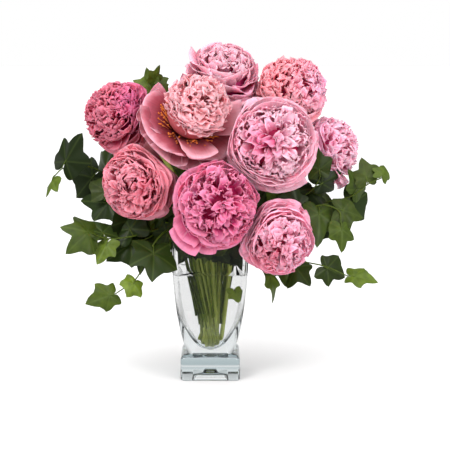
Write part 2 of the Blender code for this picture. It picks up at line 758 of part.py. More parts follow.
def make_vine(name, vine, mouth, parts, cutters, finish):
    """A vine that stands in the water, and its leaves, on alternate sides."""
    bottom = gathered(mouth, VINE_END_HEIGHT)
    line = [bottom] + smooth_line([mouth] + list(vine.points), VINE_STEPS)
    cut_hole("hole_ivy_" + name, bottom, mouth, VINE_RADIUS, 0, cutters)
    facing = Vector(vine.facing).normalized()
    leaves = new_collection("leaves_" + name)
    for index, (place, heading, length) in enumerate(vine.leaves):
        knot = (place + 1) * VINE_STEPS + 1
        before = min(int(knot), len(line) - 2)
        root = line[before].lerp(line[before + 1], min(knot - before, LAST_LEAF))
        along = Matrix.Rotation(math.radians(heading), 3, 'Y') @ UP
        points, faces = leaf_sheet(length, root, along, facing)
        thicken(f"leaf_{index}", points, faces, LEAF_THICKNESS, leaves)
    radii = [VINE_RADIUS] * len(line)
    fuse("ivy_" + name, tube("ivy_" + name, line, radii, 0), leaves, parts, finish)


def main():
    clear_scene()
    parts = new_collection("peonies_in_a_vase")
    cutters = new_collection("cutters")
    mouths = mouth_points()
    stem_green = make_material("stem_green", (0.20, 0.34, 0.10), 0.5)
    ivy_green = make_material("ivy_green", (0.10, 0.22, 0.06), 0.4)
    make_vase(parts)
    for name, bloom in BLOOMS.items():
        make_bloom(name, bloom, parts)
        make_stem(name, bloom, mouths["stem_" + name], parts, cutters, stem_green)
    make_stamens("open_pale", parts)
    for name, vine in VINES.items():
        make_vine(name, vine, mouths["ivy_" + name], parts, cutters, ivy_green)
    make_water(parts, cutters)


if __name__ == "__main__":
    main()
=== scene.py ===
# %% [markdown]
# # Peonies and ivy in a square glass vase
# A florist's bunch: nine open peonies at the front, two at the back, trailing ivy, and a heavy
# pressed-glass vase with water in it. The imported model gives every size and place. This script
# keeps them and makes each piece again with the fine shapes and finishes that the eye expects.

# %% Load the fixed frame
import math
import random

import bpy
import numpy as np
from mathutils import Matrix, Vector, noise


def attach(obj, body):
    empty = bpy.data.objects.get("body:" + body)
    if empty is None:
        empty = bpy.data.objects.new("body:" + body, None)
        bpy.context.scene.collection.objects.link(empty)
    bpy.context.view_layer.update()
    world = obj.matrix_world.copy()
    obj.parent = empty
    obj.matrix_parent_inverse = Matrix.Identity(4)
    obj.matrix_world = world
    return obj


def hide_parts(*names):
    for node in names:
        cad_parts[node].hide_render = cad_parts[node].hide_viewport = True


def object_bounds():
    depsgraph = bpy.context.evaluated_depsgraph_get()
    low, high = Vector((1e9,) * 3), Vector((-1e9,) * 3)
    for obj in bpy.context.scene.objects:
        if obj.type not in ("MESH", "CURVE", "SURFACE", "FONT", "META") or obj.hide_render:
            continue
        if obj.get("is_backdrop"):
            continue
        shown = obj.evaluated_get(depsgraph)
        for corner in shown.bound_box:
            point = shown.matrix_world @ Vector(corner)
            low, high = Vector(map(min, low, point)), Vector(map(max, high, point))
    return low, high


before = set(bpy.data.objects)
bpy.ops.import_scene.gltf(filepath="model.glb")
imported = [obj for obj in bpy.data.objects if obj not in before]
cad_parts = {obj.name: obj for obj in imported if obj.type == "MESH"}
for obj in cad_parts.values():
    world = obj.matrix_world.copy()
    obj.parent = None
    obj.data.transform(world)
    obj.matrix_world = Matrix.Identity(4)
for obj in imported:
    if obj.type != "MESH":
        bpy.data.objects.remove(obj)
CAD_BOX = [Vector(corner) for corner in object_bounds()]
MM = 0.001
print("nodes:", len(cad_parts), "box:", [round(n / MM, 1) for n in CAD_BOX[1] - CAD_BOX[0]])

# %% [markdown]
# Every piece is finished in the same way: its object sits at the origin, it rides on the one
# body, and it stands for the plain solid that it replaces.

# %% Small helpers for every piece


def only(piece=None):
    """Select this piece and nothing else, or nothing at all."""
    bpy.ops.object.select_all(action='DESELECT')
    if piece:
        piece.select_set(True)
        bpy.context.view_layer.objects.active = piece


def smooth(piece, angle=180.0):
    only(piece)
    bpy.ops.object.shade_smooth_by_angle(angle=math.radians(angle))


def thicken(sheet, thickness):
    """Give a sheet this thickness, in millimetres, half of it to each side."""
    only(sheet)
    skin = sheet.modifiers.new("Skin", 'SOLIDIFY')
    skin.thickness = thickness * MM
    skin.offset = 0.0
    bpy.ops.object.modifier_apply(modifier=skin.name)


def join(pieces, name):
    """Join pieces into one with this name."""
    only(pieces[0])
    for piece in pieces:
        piece.select_set(True)
    bpy.ops.object.join()
    joined = bpy.context.view_layer.objects.active
    joined.name = joined.data.name = name
    return joined


def points_of(mesh):
    points = np.empty(len(mesh.vertices) * 3)
    mesh.vertices.foreach_get("co", points)
    return points.reshape(-1, 3)


def move_points(mesh, points):
    mesh.vertices.foreach_set("co", np.ascontiguousarray(points, dtype=np.float32).ravel())
    mesh.update()


def copy_of(blank, points):
    """A copy of the blank with its own mesh, moved to these points, in millimetres.

    They are held inside the solids' box.
    """
    margin = 0.5 * MM
    piece = blank.copy()
    piece.data = blank.data.copy()
    bpy.context.collection.objects.link(piece)
    low, high = (np.array(corner) for corner in CAD_BOX)
    move_points(piece.data, np.clip(np.array(points) * MM, low + margin, high - margin))
    return piece


def mark(piece, name, facts):
    """Give every point of the piece four numbers for its finish."""
    colours = piece.data.color_attributes.new(name, 'FLOAT_COLOR', 'POINT')
    facts = np.broadcast_to(np.array(facts, dtype=np.float32), (len(piece.data.vertices), 4))
    colours.data.foreach_set("color", facts.ravel())


def finish(piece, node, slot, material):
    """Give the piece its finish and let it stand for its node."""
    piece.data.materials.clear()
    piece.data.materials.append(material)
    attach(piece, "root")
    if node:
        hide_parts(node)


def hex_colour(code):
    """An sRGB hex colour as the linear red, green, blue and alpha that a socket takes."""
    channels = [int(code[place:place + 2], 16) / 255 for place in (1, 3, 5)]
    linear = [c / 12.92 if c <= 0.04045 else ((c + 0.055) / 1.055) ** 2.4 for c in channels]
    return (*linear, 1.0)


# %% [markdown]
# ## Camera
# The bunch is looked at from its front and a little above, from far enough away that the sides
# of the vase stay upright.

# %% Camera
bpy.ops.object.camera_add(location=(0.0206, -2.1729, 0.5579),
                          rotation=(math.radians(81.0), 0.0, 0.0))
camera = bpy.context.object
camera.data.lens = 125.7
camera.data.sensor_width = 36.0
bpy.context.scene.camera = camera
print("camera:", [round(place, 3) for place in camera.location])

# %% [markdown]
# ## Floor and light
# A white sweep with soft light from above and in front, so that the vase stands in a small soft
# shadow. The world is white to the camera. To glass it is darker at the sides and in front, as a
# studio is beyond its softboxes, and that draws the dark lines along the edges of the glass. A
# window behind the camera lights the glass when it is seen from the back.

# %% Helpers for every shader


def wire(node, **inputs):
    """Set or link a node's settings and inputs, and return the node.

    A name has _ for a space, and i2 names the input with index 2. A node that is given as a
    value is linked by the first of its outputs that is in use.
    """
    for name, value in inputs.items():
        key = int(name[1:]) if name[1:].isdigit() else name.replace("_", " ")
        if isinstance(value, bpy.types.Node):
            value = next(output for output in value.outputs if output.enabled)
        if isinstance(key, str) and key not in node.inputs:
            setattr(node, name, value)
        elif isinstance(value, bpy.types.NodeSocket):
            node.id_data.links.new(node.inputs[key], value)
        else:
            node.inputs[key].default_value = value
    return node


def add(tree, kind, **inputs):
    """A new shader node of this kind, with its settings and links."""
    return wire(tree.nodes.new("ShaderNode" + kind), **inputs)


def new_material(name):
    """A material, its node tree and its Principled shader."""
    material = bpy.data.materials.new(name)
    material.use_nodes = True
    return material, material.node_tree, material.node_tree.nodes["Principled BSDF"]


# %% Floor, world and lights
bpy.ops.mesh.primitive_plane_add(size=8.0, location=(0, 3.58, -0.1 * MM))
floor = bpy.context.object
floor.name = "floor"
white_sweep, _, shader = new_material("white_paper_sweep")  # a roll of matt white paper
wire(shader, Base_Color=hex_colour("#d8d8d8"), Roughness=0.9, Specular_IOR_Level=0.1)
floor.data.materials.append(white_sweep)
floor.visible_glossy = False  # both flags keep the sweep's glare off the glass
floor.visible_transmission = False
floor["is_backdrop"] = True

world = bpy.data.worlds.new("studio")
bpy.context.scene.world = world
world.use_nodes = True
sky = world.node_tree
sky.nodes.clear()
axes = add(sky, "SeparateXYZ", Vector=add(sky, "TexCoord").outputs["Generated"]).outputs
aside = add(sky, "Math", operation='ABSOLUTE', i0=axes["X"])
# Each part of the studio glows by its first number at start, and fades to its last one at end.
flanks, front, sweep, ceiling, window = (
    add(sky, "MapRange", Value=axis, From_Min=start, From_Max=end, To_Min=first, To_Max=last)
    for axis, start, end, first, last in (
        (aside, 0.40, 0.90, 1.0, 0.50), (axes["Y"], -0.75, 0.15, 0.12, 1.0),
        (axes["Z"], 0.18, 0.42, 1.0, 0.10), (axes["Z"], 0.60, 0.85, 0.0, 1.1),
        (axes["Y"], -0.96, -0.88, 0.8, 0.0)))
path = add(sky, "LightPath").outputs
# The window shows through the glass, and not as a glare on it.
unmirrored = add(sky, "Math", operation='LESS_THAN', i0=path["Glossy Depth"], i1=0.5)
window = add(sky, "Math", operation='MULTIPLY', i0=window, i1=unmirrored)
glow = flanks
for operation, part in (('MULTIPLY', front), ('MULTIPLY', sweep), ('MAXIMUM', ceiling),
                        ('MAXIMUM', window)):
    glow = add(sky, "Math", operation=operation, i0=glow, i1=part)
studio, ambient, seen = (add(sky, "Background", Color=(1, 1, 1, 1), Strength=strength)
                         for strength in (glow, 1.40, 1.0))
lit = add(sky, "MixShader", i0=path["Diffuse Depth"], i1=studio, i2=ambient)
both = add(sky, "MixShader", i0=path["Is Camera Ray"], i1=lit, i2=seen)
add(sky, "OutputWorld", Surface=both)


def softbox(name, place, target, size, power):
    bpy.ops.object.light_add(type='AREA', location=place)
    lamp = bpy.context.object
    lamp.name = name
    lamp.data.size = size
    lamp.data.energy = power
    lamp.rotation_euler = (Vector(target) - lamp.location).to_track_quat('-Z', 'Y').to_euler()


softbox("key_light", (-1.2, -1.7, 1.7), (0, 0, 0.30), 1.0, 30.0)
softbox("fill_light", (1.5, -1.6, 0.9), (0, 0, 0.25), 0.9, 20.0)
bpy.ops.object.light_add(type='SUN', rotation=(math.radians(20), math.radians(-4), 0))
overhead = bpy.context.object
overhead.name = "overhead_silk"
overhead.data.energy = 1.35
overhead.data.angle = math.radians(70)
bpy.context.scene.view_settings.view_transform = 'Standard'

# %% [markdown]
# ## Peonies: where each one is
# A fully double peony is a ball of a hundred or so petals: broad guard petals outside, and
# ruffled ones inside that get smaller towards the middle. Each bloom keeps the centre, radius
# and facing of its solid. Neighbours in a tight bunch press each other flat where they meet, so
# a petal that would cross the plane between two blooms is bent back along it.

# %% Bloom table, in millimetres
BLOOMS = {
    # centre, radius, and the way the bloom faces
    "far_left": ((-128, 6, 367), 49.0, (-0.65, -0.60, 0.45)),
    "low_left": ((-97, -60, 282), 51.5, (-0.50, -0.85, -0.10)),
    "open_pale": ((-27, -50, 366), 74.0, (0.36, -0.66, 0.66)),
    "top": ((17, 44, 409), 59.0, (0.10, -0.50, 0.86)),
    "top_right": ((114, 28, 397), 54.0, (0.45, -0.60, 0.65)),
    "right_large": ((83, -72, 336), 65.0, (0.10, -0.97, 0.20)),
    "right_edge": ((165, 34, 316), 49.0, (0.90, -0.30, 0.30)),
    "low_centre": ((10, -104, 256), 59.5, (0.20, -0.95, 0.20)),
    "low_right": ((92, -84, 209), 51.0, (0.25, -0.93, -0.20)),
    "back_left": ((-62, 94, 312), 56.0, (-0.45, 0.80, 0.30)),
    "back_right": ((66, 100, 296), 56.0, (0.35, 0.85, 0.20)),
}
PRESS_MARGIN = 0.4  # half the gap that two pressed blooms keep
PRESS_START = 0.70  # share of the way to the plane at which a petal starts to bend
BUNCH_MIDDLE = np.array((10.0, 10.0, 300.0))
SWELL = 0.28  # how much further petals reach towards the middle of the bunch


def bloom_frame(name):
    """The turn from the bloom's own axes, with its face up Z, to the bunch."""
    facing = Vector(BLOOMS[name][2]).normalized()
    return np.array(facing.to_track_quat('Z', 'Y').to_matrix())


def bloom_point(name, point):
    """A point in the bloom's own units as a point of the bunch in millimetres."""
    centre, radius, _ = BLOOMS[name]
    return bloom_frame(name) @ (np.array(point) * radius) + centre


def spin_about(axis, degrees):
    return Matrix.Rotation(math.radians(degrees), 3, axis)


def swell(points, name):
    """Let petals spread into the free room between the blooms, in the middle of the bunch."""
    centre, radius, _ = BLOOMS[name]
    inwards = BUNCH_MIDDLE - centre
    inwards = inwards / np.linalg.norm(inwards)
    away = points - centre
    length = np.maximum(np.linalg.norm(away, axis=1), 0.001)
    towards = np.clip((away @ inwards) / length + 0.15, 0, 1)
    share = np.clip(length / radius - 0.5, 0, 0.5) * 2
    return points + away * (SWELL * towards * share)[:, None]


def press(points, name):
    """Bend points in millimetres back from the planes between this bloom and its neighbours."""
    centre, radius, _ = BLOOMS[name]
    for other, (other_centre, other_radius, _) in BLOOMS.items():
        apart = np.array(other_centre, float) - centre
        distance = np.linalg.norm(apart)
        if other == name or distance > 2 * (radius + other_radius):
            continue
        away = apart / distance
        limit = (distance ** 2 + radius ** 2 - other_radius ** 2) / (2 * distance)
        limit = min(limit, (distance + radius - other_radius) / 2) - PRESS_MARGIN
        if limit >= radius * (1 + SWELL):
            continue
        bend = PRESS_START * limit
        along = (points - centre) @ away
        over = np.maximum(along - bend, 0)
        pressed = bend + (limit - bend) * np.tanh(over / (limit - bend))
        points = points + np.outer(np.where(over > 0, pressed - along, 0), away)
    return points


print("blooms:", len(BLOOMS))

# %% [markdown]
# ## One petal
# A petal is a grid bent along a curved middle line. It starts at a narrow claw, widens, cups
# across its width and ends in a ruffled, frayed edge. All petals are copies of two blank grids,
# a finer one for broad petals and a plainer one for the many small ones, and each copy gets its
# own shape. The rows lie closer together near the edge, where the petal bends most.

# %% Petal blanks and petal shape


def petal_grid(name, columns, rows):
    """A flat blank, with each point's place across it and along it, and its column."""
    only()
    bpy.ops.mesh.primitive_grid_add(x_subdivisions=columns, y_subdivisions=rows, size=2.0)
    blank = bpy.context.object
    across, up = points_of(blank.data)[:, :2].T
    print(name + ":", len(blank.data.polygons), "faces")
    return {"blank": blank, "across": across.copy(), "up": 1 - ((1 - up) / 2) ** 1.3,
            "column": np.round((across + 1) / 2 * columns).astype(int)}


BROAD_GRID = petal_grid("broad petal", 12, 7)
SMALL_GRID = petal_grid("small petal", 8, 4)

BROAD_PETAL = {
    "reach": 1.0,  # the tip's distance from the middle of the ball
    "root": (0.12, -0.34),  # distance from the axis, and height
    "curl": -4,  # degrees by which the petal's shoulder stands further out than its tip
    "cup": 0.35, "ruffle": 0.03, "waves": 1.4, "notch": 0.05, "fray": 0.03, "claw": 0.35,
    "twist": 0.0, "lean": 0.0, "round": 0.22,
    "ball": (0.0, 1.0),  # height and radius of the ball that the petals fill
}


def curve_at(knots, share):
    """Points and directions on the cubic curve with these four control points."""
    first, second, third, fourth = knots
    share = share[:, None]
    rest = 1 - share
    point = rest ** 3 * first + 3 * rest ** 2 * share * second
    point = point + 3 * rest * share ** 2 * third + share ** 3 * fourth
    ahead = rest ** 2 * (second - first) + 2 * rest * share * (third - second)
    ahead = ahead + share ** 2 * (fourth - third)
    return point, ahead / np.linalg.norm(ahead, axis=1)[:, None]


def shape_petal(grid, draw, shape):
    """The blank's points as one petal, in a bloom of radius 1 that faces up Z."""
    height, size = shape["ball"]

    def on_ball(angle, reach):
        angle = math.radians(angle)
        return np.array([size * reach * math.sin(angle), height + size * reach * math.cos(angle)])

    tip_angle, reach, curl = shape["tip_angle"], shape["reach"], shape["curl"]
    knots = (np.array(shape["root"]), on_ball(tip_angle + 1.4 * curl, 0.70 * reach),
             on_ball(tip_angle + curl, 1.02 * reach), on_ball(tip_angle, reach))
    across, up = grid["across"], grid["up"]
    phase = draw.uniform(0, 6.28)
    notches = np.abs(np.sin(across * 1.57 * shape["waves"] + phase))
    frayed = np.array([draw.random() for _ in range(grid["column"].max() + 1)])[grid["column"]]
    share = up * (1 - shape["round"] * across ** 2 * up) - shape["notch"] * notches * up ** 4
    share = share - shape["fray"] * frayed * up ** 6
    point, ahead = curve_at(knots, share)
    width = shape["claw"] + (1 - shape["claw"]) * np.sin(np.minimum(up / 0.78, 1) * 1.57)
    side = shape["half_width"] * across * width
    bend = shape["cup"] * shape["half_width"] * across ** 2 * np.sqrt(up)
    wave = np.sin(across * 3.14 * shape["waves"] + 2 * phase) * (0.35 + 0.65 * np.abs(across))
    wave = wave + 0.35 * np.sin(across * 9.0 + 5 * up + phase)
    bend = bend + shape["ruffle"] * wave * up ** 2
    turn = math.radians(shape["twist"]) * up
    sideways = side * np.cos(turn) - bend * np.sin(turn) + shape["lean"] * up ** 2
    inwards = side * np.sin(turn) + bend * np.cos(turn)
    return np.stack([point[:, 0] - ahead[:, 1] * inwards, sideways,
                     point[:, 1] + ahead[:, 0] * inwards], axis=1)


# %% [markdown]
# ## Whole blooms
# Petals are set out as they grow: each one stands about 137.5 degrees round from the one
# before, which fills a dome evenly. Their sizes, curls and ruffles vary at random from a fixed
# seed. Each petal also carries four numbers that its finish reads: how far along it is, its own
# tint, how much it takes of the bloom's second colour, and how near it is to its side edges.

# %% Bloom recipes
GOLDEN_ANGLE = 137.508
PETAL_SKIN = 0.45
CLOSED_BALL = {
    "guards": dict(count=11, tip_angle=(88, 118), reach=(0.92, 1.0), half_width=(0.42, 0.54),
                   root=(0.12, -0.36), curl=(-12, 6), cup=(0.1, 0.35), ruffle=0.035,
                   waves=(1.2, 2.2), notch=0.06, fray=0.03, claw=0.30),
    "collar": dict(count=16, tip_angle=(60, 90), reach=(0.92, 1.0), half_width=(0.28, 0.42),
                   root=(0.12, -0.30), curl=(0, 18), cup=(0.1, 0.5), ruffle=0.04,
                   waves=(1.2, 2.2), notch=0.08, fray=0.04, claw=0.30, twist=12),
    "ruffles": dict(count=270, cap=(2, 76), reach=(0.91, 1.0), half_width=(0.08, 0.145),
                    root=(0.07, -0.12), curl=((6, 28), (6, 28), (-24, -6)), cup=(-0.3, 0.6),
                    ruffle=0.034, waves=(1.4, 3.0), notch=0.08, fray=0.07, claw=0.50, twist=32),
}
# Broad smooth petals that wrap a ball from outside, with the ruffles showing in its middle.
WRAPS = dict(count=12, tip_angle=(50, 72), reach=(0.95, 1.0), half_width=(0.34, 0.46),
             root=(0.12, -0.30), curl=(6, 14), cup=(0.2, 0.4), ruffle=0.025, waves=(0.8, 1.6),
             notch=0.08, fray=0.03, claw=0.35, twist=6)
# Broad petals that cup a ball from below and hide its base from the back.
UNDERSIDE = dict(count=9, tip_angle=(90, 112), reach=(0.90, 0.97), half_width=(0.46, 0.58),
                 root=(0.10, -0.44), curl=(18, 30), cup=(0.2, 0.4), ruffle=0.03, waves=(0.8, 1.8),
                 notch=0.06, fray=0.02, claw=0.35, twist=4)
SHOULDERS = {**UNDERSIDE, "count": 7, "tip_angle": (66, 84), "reach": (0.88, 0.93)}


def recipe(**changes):
    """The closed ball's layers with some of their values changed."""
    layers = {name: dict(layer) for name, layer in CLOSED_BALL.items()}
    for name, values in changes.items():
        layers.setdefault(name, {}).update(values)
    return layers


RAISED = dict(ball=(0.38, 0.62))
RECIPES = {
    "far_left": recipe(),
    "low_left": recipe(wraps=WRAPS, ruffles=dict(count=190, cap=(2, 62))),
    "open_pale": recipe(
        guards=dict(count=5, tip_angle=(106, 120), half_width=(0.48, 0.58), curl=(-6, 8),
                    root=(0.12, -0.37), reach=(0.95, 1.0)),
        collar=dict(count=18, tip_angle=(60, 94), root=(0.12, 0.14), **RAISED),
        ruffles=dict(count=230, cap=(2, 96), root=(0.08, 0.20), half_width=(0.08, 0.15),
                     **RAISED)),
    "top": recipe(wraps={**WRAPS, "count": 16, "tip_angle": (34, 60), "curl": (2, 12),
                         "half_width": (0.38, 0.50), "reach": (0.92, 1.0)},
                  ruffles=dict(count=90, cap=(2, 40), half_width=(0.10, 0.17))),
    "top_right": recipe(ruffles=dict(count=290, half_width=(0.075, 0.135))),
    "right_large": recipe(
        guards=dict(count=13), wraps={**WRAPS, "count": 15, "tip_angle": (46, 74)},
        collar=dict(count=14, tip_angle=(60, 88), curl=(0, 16)),
        ruffles=dict(count=190, cap=(2, 58), half_width=(0.07, 0.125))),
    "right_edge": recipe(ruffles=dict(count=180)),
    "low_centre": recipe(wraps={**WRAPS, "count": 7},
                         ruffles=dict(count=250, half_width=(0.075, 0.135))),
    "low_right": recipe(wraps=WRAPS, ruffles=dict(count=190, cap=(2, 60))),
    "back_left": recipe(wraps=WRAPS, ruffles=dict(count=190, cap=(2, 62))),
    "back_right": recipe(),
}
BROAD_PETALS = {
    # the way each one points, its tip's angle and half width, and what else it has of its own
    "far_left": (((0.5, -0.2, -1.0), 98, 0.46, {}), ((0.9, -0.1, -0.3), 96, 0.46, {})),
    "open_pale": (
        ((0.0, -0.4, -1.0), 86, 0.36, dict(cup=0.45, claw=0.7, ruffle=0.01, notch=0.0, fray=0.01)),
        ((-0.85, -0.3, -0.6), 92, 0.66, dict(cup=0.2, claw=0.7, round=0.35)),
        ((-1.0, 0.1, -0.1), 94, 0.50, dict(cup=0.2, claw=0.7, reach=0.90, round=0.5)),
        ((0.7, -0.3, -0.8), 94, 0.60, dict(cup=0.2, claw=0.7)),
        ((1.0, 0.0, 0.1), 82, 0.40, dict(cup=0.4)), ((0.5, 0.1, -1.0), 110, 0.50, {}),
        ((0.0, 0.2, -1.0), 116, 0.50, {}), ((-0.6, 0.2, -0.9), 112, 0.50, {})),
    "top": (
        ((-1.0, -0.4, 0.1), 50, 0.56, dict(cup=0.2, reach=1.18, claw=0.6)),
        ((-0.7, -0.8, -0.2), 56, 0.56, dict(cup=0.2, reach=1.06, claw=0.6)),
        ((-0.3, -0.2, 1.0), 40, 0.40, {}), ((0.6, -0.5, -0.5), 74, 0.46, dict(cup=0.5)),
        ((1.0, -0.2, -0.2), 70, 0.42, dict(cup=0.5))),
    "right_large": (
        ((1.0, -0.3, 0.1), 56, 0.46, dict(curl=10)), ((0.7, -0.3, 0.8), 60, 0.44, dict(curl=10)),
        ((0.8, -0.3, -0.6), 58, 0.46, dict(curl=10)), ((0.1, -0.3, -1.0), 64, 0.42, dict(curl=10)),
        ((-0.7, -0.3, -0.8), 72, 0.38, dict(curl=10)), ((-0.9, -0.1, -0.6), 98, 0.46, {}),
        ((-0.3, -0.1, -1.0), 98, 0.46, {}), ((0.3, -0.1, -1.0), 92, 0.46, dict(reach=1.12))),
    "low_centre": (
        ((-0.8, -0.2, -0.6), 66, 0.34, dict(cup=0.6)),
        ((-0.3, -0.2, -1.0), 74, 0.36, dict(cup=0.6)),
        ((-1.0, -0.2, 0.1), 72, 0.32, dict(cup=0.5)), ((0.1, -0.2, -1.0), 92, 0.50, dict(curl=-8)),
        ((0.6, -0.2, -0.8), 92, 0.50, dict(curl=-8)),
        ((-0.75, -0.2, -0.75), 90, 0.40, dict(reach=1.29)),
        ((-0.45, -0.2, -0.9), 92, 0.42, dict(reach=1.14, ruffle=0.07, waves=2.4, notch=0.12,
                                             fray=0.08)),
        ((-0.80, -0.2, -0.60), 82, 0.40, dict(curl=0, reach=1.16, ruffle=0.07, waves=2.4,
                                              notch=0.12, fray=0.08)),
        ((0.1, 0.2, 1.0), 92, 0.46, {}), ((0.5, 0.2, 0.8), 92, 0.46, {}),
        ((-0.5, 0.2, 0.8), 92, 0.46, {})),
    "low_left": (
        ((1.0, -0.5, 0.3), 66, 0.36, dict(curl=4)), ((0.7, -0.4, 0.8), 70, 0.36, {}),
        ((-0.7, -0.4, -0.7), 62, 0.46, dict(curl=12)),
        ((-0.1, -0.4, -1.0), 60, 0.44, dict(curl=12)),
        ((-0.2, 0.1, 1.0), 94, 0.50, {}), ((0.4, 0.1, 1.0), 98, 0.54, {})),
    "low_right": (
        ((0.6, -0.3, 0.8), 54, 0.42, dict(curl=12)), ((1.0, -0.3, -0.1), 58, 0.42, dict(curl=12)),
        ((-0.2, -0.3, 1.0), 62, 0.42, dict(curl=10))),
    "right_edge": (
        ((-0.3, -0.9, 0.6), 80, 0.46, {}), ((0.1, -0.9, -0.6), 70, 0.44, {}),
        ((0.3, -0.3, -1.0), 88, 0.58, dict(cup=0.2, reach=1.20)),
        ((-0.2, -0.3, -1.0), 78, 0.50, dict(cup=0.2, reach=1.14))),
}


def between(draw, span):
    """A number from a range, or from one of several ranges, or the number itself."""
    if not isinstance(span, tuple):
        return span
    return draw.uniform(*(draw.choice(span) if isinstance(span[0], tuple) else span))


def petals_of(draw, layer):
    """One layer's petals: for each, its turn round the axis, and its shape."""
    count = layer["count"]
    start = draw.uniform(0, 360)
    for index in range(count):
        if "cap" in layer:
            place = (index + 0.5) / count
            inner, outer = (math.cos(math.radians(angle)) for angle in layer["cap"])
            tip_angle = math.degrees(math.acos(inner + place * (outer - inner)))
            narrow, wide = layer["half_width"]
            half_width = (narrow + place * (wide - narrow)) * draw.uniform(0.70, 1.40)
        else:
            tip_angle = between(draw, layer["tip_angle"])
            half_width = between(draw, layer["half_width"])
        twist = layer.get("twist", 6)
        shape = dict(
            half_width=half_width, reach=between(draw, layer["reach"]), root=layer["root"],
            curl=between(draw, layer["curl"]), cup=between(draw, layer["cup"]),
            ruffle=layer["ruffle"] * draw.uniform(0.6, 1.3), waves=between(draw, layer["waves"]),
            notch=layer["notch"] * draw.uniform(0.4, 1.2), fray=layer["fray"], claw=layer["claw"],
            twist=draw.uniform(-twist, twist), lean=draw.uniform(-0.09, 0.09),
            ball=layer.get("ball", (0.0, 1.0)), tip_angle=tip_angle + draw.uniform(-3, 3))
        yield start + index * GOLDEN_ANGLE + draw.uniform(-22, 22), shape


print("petals in the recipes:", {name: sum(layer["count"] for layer in layers.values())
                                 for name, layers in RECIPES.items()})

# %% Grow the blooms
SECOND_COLOUR = {
    # where in the bloom, as seen from the front, it is strongest, and how fast it fades
    "far_left": (0.45, 0.45, 1.6),
    "low_left": (0.20, -0.10, 1.8),
    "right_large": (-0.24, 0.10, 1.9),
    "right_edge": (-0.20, 0.30, 1.8),
    "low_right": (-0.25, -0.35, 1.8),
    "low_centre": (0.15, -0.10, 1.3),
    "top": (0.75, -0.25, 2.0),
    "top_right": (0.90, 0.20, 1.0),
}


def second_colour(name, points, grid, layer):
    """How much a petal takes of the bloom's second colour, from 0 to 1."""
    centre, radius, _ = BLOOMS[name]
    tip = (points[grid["up"] > 0.9].mean(axis=0) - centre) / radius
    # For the open bloom's guards, this number grows from the bloom's left side to its right. It
    # paints shade into the left guards.
    if name == "open_pale":
        return np.clip(0.9 + tip[0], 0, 1) if layer == "guards" else 1.0
    if name not in SECOND_COLOUR:
        return 0.3
    right, high, fade = SECOND_COLOUR[name]
    return np.clip(1.15 - fade * math.hypot(tip[0] - right, tip[2] - high), 0, 1)


def lumpy_reach(name, turn, shape):
    """The petal's reach, longer or shorter by broad lumps over the ball."""
    turn, tip_angle = math.radians(turn), math.radians(shape["tip_angle"])
    aim = np.array((math.sin(tip_angle) * math.cos(turn), math.sin(tip_angle) * math.sin(turn),
                    math.cos(tip_angle)))
    lump = noise.noise(1.8 * bloom_frame(name) @ aim)
    return shape["reach"] * (0.95 + 0.12 * min(lump, 0.4))


def add_petal(name, layer, turn, shape, draw):
    """A copy of the blank, shaped, turned and set in its bloom."""
    centre, radius, _ = BLOOMS[name]
    grid = SMALL_GRID if layer == "ruffles" else BROAD_GRID
    if layer != "guards":
        shape["reach"] = lumpy_reach(name, turn, shape)
    points = shape_petal(grid, draw, {**BROAD_PETAL, **shape})
    longest = max(0.985, shape["reach"] * 0.985)
    points = points * np.minimum(1, longest / np.linalg.norm(points, axis=1))[:, None]
    points = (points * radius) @ (bloom_frame(name) @ np.array(spin_about('Z', turn))).T + centre
    points = press(swell(points, name), name)
    petal = copy_of(grid["blank"], points)
    second = second_colour(name, points, grid, layer)
    early = 1.0 if layer == "ruffles" else 1.3  # broad petals reach their edge colour sooner
    # Painted shade: the open bloom's left guards keep their deep colour further out and take none
    # of the paler second colour, as the shaded insides of its bowl.
    if name == "open_pale" and layer == "guards":
        early, second = 0.94 + 0.56 * second, 0.3 * second
    facts = np.empty((len(points), 4), dtype=np.float32)
    facts[:, 0] = grid["up"] * early
    facts[:, 1] = draw.random()
    facts[:, 2] = second
    facts[:, 3] = np.abs(grid["across"])
    mark(petal, "petal", facts)
    return petal


def add_heart(name):
    """The ball that the petals stand on, flat below, which only shows as colour between them."""
    centre, radius, facing = BLOOMS[name]
    raised = name == "open_pale"
    facing = Vector(facing).normalized()
    middle = Vector(centre) + facing * (0.24 if raised else -0.02) * radius
    only()
    bpy.ops.mesh.primitive_ico_sphere_add(
        subdivisions=3, radius=(0.50 if raised else 0.66) * radius * MM, location=middle * MM)
    heart = bpy.context.object
    bpy.ops.object.transform_apply()
    if not raised:
        points, facing = points_of(heart.data), np.array(facing)
        below = np.minimum((points - np.array(middle) * MM) @ facing, 0)
        move_points(heart.data, points - np.outer(0.5 * below, facing))
    # The heart takes the petals' deepest colour: painted shade deep in the gaps between them.
    mark(heart, "petal", (0.0, 0.5, 1.0, 0.0))
    return heart


peonies = {}
for name in BLOOMS:
    draw = random.Random("peony " + name)
    petals = [add_petal(name, layer, turn, shape, draw) for layer, values in RECIPES[name].items()
              for turn, shape in petals_of(draw, values)]
    for pointing, tip_angle, half_width, changes in BROAD_PETALS.get(name, ()):
        across, up, _ = np.array(pointing) @ bloom_frame(name)
        shape = {**BROAD_PETAL, "tip_angle": tip_angle, "half_width": half_width, **changes}
        petals.append(add_petal(name, "guards", math.degrees(math.atan2(up, across)), shape, draw))
    if name != "open_pale":
        draw = random.Random("underside " + name)
        petals += [add_petal(name, "guards", turn, shape, draw) for row in (UNDERSIDE, SHOULDERS)
                   for turn, shape in petals_of(draw, row)]
    skin = join(petals, "petals")
    thicken(skin, PETAL_SKIN)
    peonies[name] = join([skin, add_heart(name)], "peony_" + name)
    smooth(peonies[name])
    print("peony_" + name, "petals:", len(petals), "faces:", len(peonies[name].data.polygons))

# %% [markdown]
# ## Petal finish
# A petal is thin, moist and slightly see-through, so light scatters inside it and its edges
# glow. Its colour is deep at the claw, where the petals shade each other, and pale at the
# ruffled edge. Fine veins run along it, about a millimetre apart.

